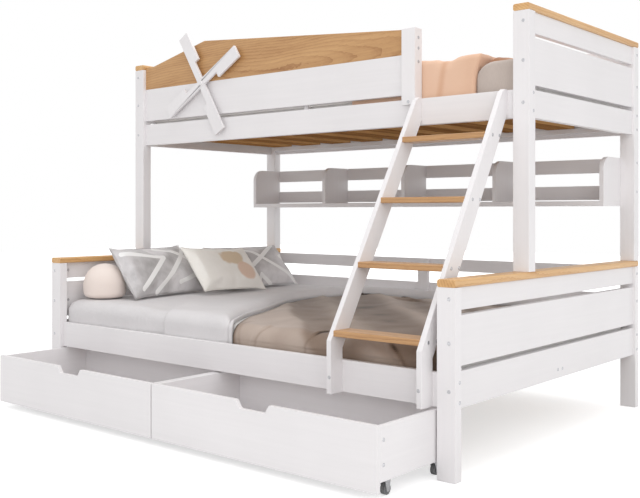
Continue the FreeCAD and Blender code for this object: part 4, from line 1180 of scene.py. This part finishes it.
cushionLook = {
    "cell": 0.0085, "startDeep": 0.5, "fit": 0.985, "seamRadius": 0.0016, "faceGap": 0.05,
    "quality": 6, "mass": 0.25, "pressure": 4.0, "stiffness": 20, "bendStiffness": 0.35,
    "frames": 20, "cap": 0.030, "pull": 0.4, "quickSwell": 1.9,
}
cushionLooks = {
    "greyCushionLeft": {
        "node": "grey_cushion_left", "size": (0.092, 0.520, 0.272), "lean": 35, "yaw": 11,
        "roll": 0, "slot": "grey_cushion_cloth",
        "bands": (((-0.88, 0.64), (0.12, 0.34), (-0.77, -0.74)), ((0.10, 0.88), (1.0, 0.12)),
                  ((1.0, 0.98), (0.62, 0.32), (-0.38, -0.92)),
                  ((0.30, -0.68), (0.79, -0.42), (1.0, -0.72)))},
    "greyCushionRight": {
        "node": "grey_cushion_right", "size": (0.092, 0.520, 0.272), "lean": 41, "yaw": -3,
        "roll": 0, "slot": "grey_cushion_cloth",
        "bands": (((-0.22, 1.0), (0.22, 0.2), (1.0, -1.0)),
                  ((0.88, 1.0), (0.22, 0.2), (-0.6, -0.7)),
                  ((1.0, 0.35), (0.75, 0.2), (0.95, -0.05)),
                  ((-0.1, -1.0), (0.02, -0.62), (0.25, -1.0)))},
    "creamCushion": {
        "node": "cream_cushion", "size": (0.084, 0.446, 0.268), "lean": 40, "yaw": 4,
        "roll": -3, "slot": "cream_cushion_cloth", "bands": None},
}


def cushionPanels(deep, wide, tall):
    # two flat grids that share their border; each point with its flat place
    look = cushionLook
    across, up = round(wide / look["cell"]), round(tall / look["cell"])
    points, flats, faces, number = [], [], [], {}
    for side in (1, -1):
        for i in range(across + 1):
            for j in range(up + 1):
                rim = i in (0, across) or j in (0, up)
                if rim and side < 0:
                    number[side, i, j] = number[1, i, j]
                    continue
                s, t = 2 * i / across - 1, 2 * j / up - 1
                swell = math.sqrt((1 - s * s) * (1 - t * t))
                number[side, i, j] = len(points)
                y, z = s * wide / 2, t * tall / 2
                points.append((side * deep * look["startDeep"] / 2 * swell, y, z))
                flats.append((y, z, 0.0 if rim else side * look["faceGap"]))
        for i in range(across):
            for j in range(up):
                corners = [(i, j), (i + 1, j), (i + 1, j + 1), (i, j + 1)]
                if side < 0:
                    corners.reverse()
                faces.append([number[side, a, b] for a, b in corners])
    rim = [(i, 0) for i in range(across)] + [(across, j) for j in range(up)]
    rim += [(i, up) for i in range(across, 0, -1)] + [(0, j) for j in range(up, 0, -1)]
    return points, flats, faces, [number[1, i, j] for i, j in rim]


def blownUp(piece):
    # points of the piece after the cloth has filled, no point moved past the cap
    look = cushionLook
    before = [vertex.co.copy() for vertex in piece.data.vertices]
    cloth = piece.modifiers.new("filling", "CLOTH")
    settings = cloth.settings
    settings.quality = look["quality"]
    settings.mass = look["mass"]
    settings.use_pressure = True
    settings.uniform_pressure_force = look["pressure"]
    settings.tension_stiffness = settings.compression_stiffness = look["stiffness"]
    settings.bending_stiffness = look["bendStiffness"]
    settings.effector_weights.gravity = 0
    cloth.point_cache.frame_start, cloth.point_cache.frame_end = 1, look["frames"]
    for frameNumber in range(1, look["frames"] + 1):
        scene.frame_set(frameNumber)
    graph = bpy.context.evaluated_depsgraph_get()
    after = [vertex.co.copy() for vertex in piece.evaluated_get(graph).data.vertices]
    piece.modifiers.clear()
    scene.frame_set(1)
    for index, point in enumerate(after):
        move = point - before[index]
        if move.length > look["cap"]:
            after[index] = before[index] + move * (look["cap"] / move.length)
        # the stuffing holds the outline, so the faces rise more than the sides draw in
        after[index].yz = before[index].yz.lerp(after[index].yz, look["pull"])
    return after


def makeCushion(name, material):
    look = cushionLooks[name]
    size = Vector(look["size"]) * cushionLook["fit"]
    start, flats, faces, rim = cushionPanels(*look["size"])
    piece = meshPiece(name, start, faces, material, flats)
    points = blownUp(piece)
    for axis in range(3):
        low, high = min(p[axis] for p in points), max(p[axis] for p in points)
        for point in points:
            point[axis] = (point[axis] - (low + high) / 2) * size[axis] / (high - low)
    boxLow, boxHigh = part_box(look["node"])
    turn = Matrix.Translation((boxLow + boxHigh) / 2)
    for angle, axis in ((look["yaw"], "Z"), (-look["lean"], "Y"), (look["roll"], "X")):
        turn = turn @ Matrix.Rotation(math.radians(angle), 4, axis)
    points = [turn @ point for point in points]
    for vertex, point in zip(piece.data.vertices, points):
        vertex.co = point
    # the panels were built facing outwards, and stay so
    piece = finished(piece, 1)
    settle(piece, "bed", look["node"], look["slot"])
    seamPoints, seamFaces = tubeAlong([points[index] for index in rim],
                                      cushionLook["seamRadius"], seamSides)
    seam = meshPiece(name + "Seam", seamPoints, seamFaces, material,
                     [flats[index] for index in rim for _ in range(seamSides)])
    faceOut(seam)
    settle(seam, "bed", None, look["slot"])


for name, look in cushionLooks.items():
    wide, tall = look["size"][1:]
    if look["bands"]:
        makeCushion(name, makeGreyCloth(name + "Cloth", look["bands"], wide, tall))
    else:
        makeCushion(name, makeCreamCloth(wide, tall))
print("cushions filled")


roundCushionLook = {"rings": 26, "sides": 44, "foot": 4.5, "crown": 2.1, "waist": 0.36,
                    "pull": 0.004, "fit": 0.985, "gap": 0.0005}


def makeRoundCushion():
    # a plush pouf with a flat foot and a crowned top
    look = roundCushionLook
    low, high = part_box("round_cushion")
    centre = (low + high) / 2
    radius = min(high.x - low.x, high.y - low.y) / 2 * look["fit"]
    floor, tall = low.z + look["gap"], high.z - low.z - 2 * look["gap"]
    points = []
    for ring in range(1, look["rings"]):
        angle = math.pi * (ring / look["rings"] - 0.5)
        power = 2 / (look["crown"] if angle > 0 else look["foot"])
        out = math.cos(angle) ** power
        reach = (1 - look["waist"]) if angle > 0 else look["waist"]
        rise = look["waist"] + math.copysign(reach * abs(math.sin(angle)) ** power, math.sin(angle))
        for side in range(look["sides"]):
            turn = 2 * math.pi * side / look["sides"]
            aside, ahead = math.cos(turn), math.sin(turn)
            reached = radius * out - look["pull"] * waver(aside, ahead + rise * 2, 1.6, 4)
            points.append(Vector((centre.x + reached * aside, centre.y + reached * ahead,
                                  floor + tall * rise)))
    sides = look["sides"]
    faces = ringFaces(look["rings"] - 1, sides)
    for ring, z, order in ((0, floor, -1), (look["rings"] - 2, low.z + tall, 1)):
        middle = len(points)
        points.append(Vector((centre.x, centre.y, z)))
        for side in range(sides):
            edge = [ring * sides + side, ring * sides + (side + 1) % sides, middle]
            faces.append(edge[::order])
    piece = meshPiece("roundCushionCover", points, faces, plushes["ballPlush"], points)
    giveNapAndShade(piece, lambda point: 0.5 + 0.2 * wander(point.x, point.y + point.z, 9, 3))
    piece = finished(piece, 1)
    faceOut(piece)
    settle(piece, "bed", "round_cushion", "beige_plush")


makeRoundCushion()
print("round cushion made")


# bolts: small zinc heads with a rounded rim, set where the boards are screwed together

boltLook = {"headRadius": 0.0062, "socketRadius": 0.0034, "headTall": 0.0016}


def makeBoltTree():
    tree = bpy.data.node_groups.new("boltHeads", "GeometryNodeTree")
    for title, way, kind in (("Geometry", "INPUT", "Geometry"), ("Head Radius", "INPUT", "Float"),
                             ("Socket Radius", "INPUT", "Float"), ("Head Height", "INPUT", "Float"),
                             ("Finish", "INPUT", "Material"), ("Geometry", "OUTPUT", "Geometry")):
        tree.interface.new_socket(name=title, in_out=way, socket_type="NodeSocket" + kind)
    given = tree.nodes.new("NodeGroupInput").outputs
    leave = tree.nodes.new("NodeGroupOutput")
    both = mathNode(tree, "ADD", given["Head Radius"], given["Socket Radius"])
    wall = mathNode(tree, "SUBTRACT", given["Head Radius"], given["Socket Radius"])
    middle = mathNode(tree, "MULTIPLY", both, 0.5)
    path = addNode(tree, "GeometryNodeCurvePrimitiveCircle", Resolution=16, Radius=middle)
    rim = addNode(tree, "GeometryNodeCurvePrimitiveCircle", Resolution=8,
                  Radius=mathNode(tree, "MULTIPLY", wall, 0.5))
    ring = addNode(tree, "GeometryNodeCurveToMesh", Curve=path.outputs["Curve"],
                   Profile_Curve=rim.outputs["Curve"])
    floor = addNode(tree, "GeometryNodeMeshCylinder", Vertices=16, Radius=middle,
                    Depth=given["Head Height"])
    head = addNode(tree, "GeometryNodeJoinGeometry", Geometry=ring.outputs["Mesh"])
    feed(tree, head.inputs["Geometry"], floor.outputs["Mesh"])
    facing = addNode(tree, "GeometryNodeInputNamedAttribute", {"data_type": "FLOAT_VECTOR"},
                     Name="facing")
    turn = addNode(tree, "FunctionNodeAlignRotationToVector", {"axis": "Z"},
                   Vector=facing.outputs["Attribute"])
    heads = addNode(tree, "GeometryNodeInstanceOnPoints", Points=given["Geometry"],
                    Instance=head.outputs["Geometry"], Rotation=turn.outputs["Rotation"])
    real = addNode(tree, "GeometryNodeRealizeInstances", Geometry=heads.outputs["Instances"])
    finish = addNode(tree, "GeometryNodeSetMaterial", Geometry=real.outputs["Geometry"],
                     Material=given["Finish"])
    feed(tree, leave.inputs["Geometry"], finish.outputs["Geometry"])
    return tree


boltTree = makeBoltTree()


def makeBolts(name, body, spots):
    # spots holds each head's place and the way that it faces
    mesh = bpy.data.meshes.new(name + "Spots")
    mesh.from_pydata([place for place, facing in spots], [], [])
    giveVectors(mesh, "facing", [facing for place, facing in spots])
    holder = placed(name + "Holder", mesh)
    heads = holder.modifiers.new("heads", "NODES")
    heads.node_group = boltTree
    sockets = {item.name: item.identifier for item in boltTree.interface.items_tree
               if item.in_out == "INPUT"}
    for title, value in (("Head Radius", boltLook["headRadius"]),
                         ("Socket Radius", boltLook["socketRadius"]),
                         ("Head Height", boltLook["headTall"]), ("Finish", hardware["zincSteel"])):
        heads[sockets[title]] = value
    made = plainMesh(holder)
    bpy.data.objects.remove(holder)
    settle(placed(name, made), body, None, "steel")


# heights of the bolts, with how far they sit from the edge of their board
postBolts = {
    "lower": {"front": (0.553, 0.420, 0.274), "side": (0.301, 0.240), "fromFront": 0.026,
              "rearSide": (0.303, 0.242, 0.558, 0.443)},
    "upper": {"front": (1.468, 1.333, 1.189), "side": (1.224, 1.162), "fromFront": 0.033,
              "rearSide": (1.471, 1.338, 1.218, 1.160, 1.021, 0.900)},
    "fromEdge": 0.022, "fromRear": 0.018,
}
boardBolts = {"inner": (0.554, 0.420), "fromFront": 0.064, "beamAt": (0.1365, 0.1735),
              "beam": 0.250}
guardBolts = {"side": (1.468, 1.428, 1.378), "front": 1.228}
ladderBolts = {"treads": (0.427, 0.647, 0.867, 1.087), "below": 0.010, "behind": (0.025, 0.072),
               "foot": (-0.6335, 0.394), "lean": 0.605, "fromEdge": 0.011, "rail": 0.274}
drawerBolts = {"heights": (0.173, 0.102), "behind": 0.032}


def bedBoltSpots():
    low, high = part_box("lower_posts")
    upperLow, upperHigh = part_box("upper_posts")
    lower, upper = postBolts["lower"], postBolts["upper"]
    rear = high.y - postBolts["fromRear"]
    spots = []
    for side, x, upperX in ((-1, low.x, upperLow.x), (1, high.x, upperHigh.x)):
        inwards = side * postBolts["fromEdge"]
        for z in lower["front"]:
            spots += [((x - inwards, low.y, z), (0, -1, 0)), ((x - inwards, high.y, z), (0, 1, 0))]
        spots += [((x, low.y + lower["fromFront"], z), (side, 0, 0)) for z in lower["side"]]
        spots += [((x, rear, z), (side, 0, 0)) for z in lower["rearSide"]]
        spots += [((upperX - inwards, upperLow.y, z), (0, -1, 0)) for z in upper["front"]]
        spots += [((upperX, upperLow.y + upper["fromFront"], z), (side, 0, 0))
                  for z in upper["side"]]
        spots += [((upperX, rear, z), (side, 0, 0)) for z in upper["rearSide"]]
        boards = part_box("lower_end_boards_" + ("left" if side < 0 else "right"))
        outer, inner = (corner.x for corner in boards[::-side])
        spots += [((inner, low.y + boardBolts["fromFront"], z), (-side, 0, 0))
                  for z in boardBolts["inner"]]
        spots += [((outer, y, boardBolts["beam"]), (side, 0, 0)) for y in boardBolts["beamAt"]]
    guardLow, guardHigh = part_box("guard_post")
    middle = (guardLow + guardHigh) / 2
    spots += [((guardHigh.x, middle.y, z), (1, 0, 0)) for z in guardBolts["side"]]
    spots.append(((middle.x, guardLow.y, guardBolts["front"]), (0, -1, 0)))
    stileLow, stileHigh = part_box("ladder_stiles")
    footY, footZ = ladderBolts["foot"]
    for top in ladderBolts["treads"]:
        z = top - ladderBolts["below"]
        front = footY + ladderBolts["lean"] * (z - footZ)
        for behind in ladderBolts["behind"]:
            spots += [((stileLow.x, front + behind, z), (-1, 0, 0)),
                      ((stileHigh.x, front + behind, z), (1, 0, 0))]
    for x in (stileLow.x + ladderBolts["fromEdge"], stileHigh.x - ladderBolts["fromEdge"]):
        spots.append(((x, footY, ladderBolts["rail"]), (0, -1, 0)))
    return spots


def drawerBoltSpots(name):
    low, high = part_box("drawer_" + name + "_sides")
    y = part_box("drawer_" + name + "_front")[0].y + drawerBolts["behind"]
    return [((x, y, z), (side, 0, 0)) for z in drawerBolts["heights"]
            for x, side in ((low.x, -1), (high.x, 1))]


makeBolts("bedBolts", "bed", bedBoltSpots())
for name in ("left", "right"):
    makeBolts("drawerBolts." + name, "drawer_" + name, drawerBoltSpots(name))
print("bolts set")


# stage, light and camera

stageLook = {"floor": (0.82, 0.82, 0.82), "shade": 0.99, "size": 14.0, "drop": 0.0005,
             "near": 1.6, "far": 3.2, "lift": 0.56}
lampLooks = {
    "keyLamp": {"place": (4.6, -1.6, 3.2), "aim": (0, 0, 0.7), "size": 3.2, "power": 26},
    "frontLamp": {"place": (4.6, -6.4, 2.6), "aim": (0, 0, 0.9), "size": 6.0, "power": 150},
    "topLamp": {"place": (0.2, 0.2, 4.2), "aim": (0, 0, 0), "size": 3.8, "power": 60},
}
worldLook = {"colour": (1, 1, 1), "strength": 0.74}
cameraLook = {"place": (2.46748, -2.97869, 0.81537), "turn": 41.4, "lens": 51.52, "sensor": 36,
              "shiftX": 0.0547, "shiftY": -0.0576}


def rayIs(tree, kinds):
    # 1 where the floor or the background is seen by one of these kinds of ray
    path = tree.nodes.new("ShaderNodeLightPath").outputs
    seen = path[kinds[0]]
    for kind in kinds[1:]:
        seen = mathNode(tree, "MAXIMUM", seen, path[kind])
    return seen


def makeStage():
    look = stageLook
    mesh = bpy.data.meshes.new("floor")
    reach = look["size"]
    corners = [(-reach, -reach), (reach, -reach), (reach, reach), (-reach, reach)]
    mesh.from_pydata([(x, y, -look["drop"]) for x, y in corners], [], [(0, 1, 2, 3)])
    floor = placed("floor", mesh)
    material, tree, shader = newMaterial("paleFloor", 0.9, Specular_IOR_Level=0.0)
    place = objectPlace(tree)
    shade = tuple(value * look["shade"] for value in look["floor"])
    mottle = rampOf(tree, noiseOf(tree, place, 8.0, 2.0), [(0.0, shade), (1.0, look["floor"])])
    feed(tree, shader.inputs["Base Color"], mottle)
    # seen directly, the floor brightens towards the white background
    away = vectorMath(tree, "LENGTH", place)["Value"]
    far = addNode(tree, "ShaderNodeMapRange", {"interpolation_type": "SMOOTHSTEP"}, Value=away,
                  From_Min=look["near"], From_Max=look["far"], To_Min=look["lift"], To_Max=1.0)
    seen = rayIs(tree, ("Is Camera Ray", "Is Glossy Ray"))
    shader.inputs["Emission Color"].default_value = (1, 1, 1, 1)
    feed(tree, shader.inputs["Emission Strength"],
         mathNode(tree, "MULTIPLY", seen, far.outputs["Result"]))
    mesh.materials.append(material)


def makeWorld():
    world = bpy.data.worlds.new("studio")
    scene.world = world
    world.use_nodes = True
    tree = world.node_tree
    light = tree.nodes["Background"]
    light.inputs["Color"].default_value = (*worldLook["colour"], 1)
    light.inputs["Strength"].default_value = worldLook["strength"]
    white = addNode(tree, "ShaderNodeBackground", Color=(1, 1, 1, 1), Strength=1.0)
    mix = tree.nodes.new("ShaderNodeMixShader")
    seen = rayIs(tree, ("Is Camera Ray", "Is Glossy Ray", "Is Transmission Ray"))
    for socket, value in zip(mix.inputs, (seen, light.outputs[0], white.outputs[0])):
        feed(tree, socket, value)
    feed(tree, tree.nodes["World Output"].inputs["Surface"], mix.outputs[0])


def makeLamps():
    for name, look in lampLooks.items():
        light = bpy.data.lights.new(name, "AREA")
        light.shape = "SQUARE"
        light.size = look["size"]
        light.energy = look["power"]
        lamp = placed(name, light)
        lamp.location = look["place"]
        aim = Vector(look["aim"]) - Vector(look["place"])
        lamp.rotation_euler = aim.to_track_quat("-Z", "Y").to_euler()


def makeCamera():
    look = cameraLook
    data = bpy.data.cameras.new("camera")
    data.lens = look["lens"]
    data.sensor_width = look["sensor"]
    data.sensor_fit = "HORIZONTAL"
    data.shift_x, data.shift_y = look["shiftX"], look["shiftY"]
    camera = placed("camera", data)
    camera.location = look["place"]
    camera.rotation_euler = (math.pi / 2, 0, math.radians(look["turn"]))
    scene.camera = camera


scene.view_settings.view_transform = "Standard"
makeStage()
makeWorld()
makeLamps()
makeCamera()
print("stage, light and camera made")
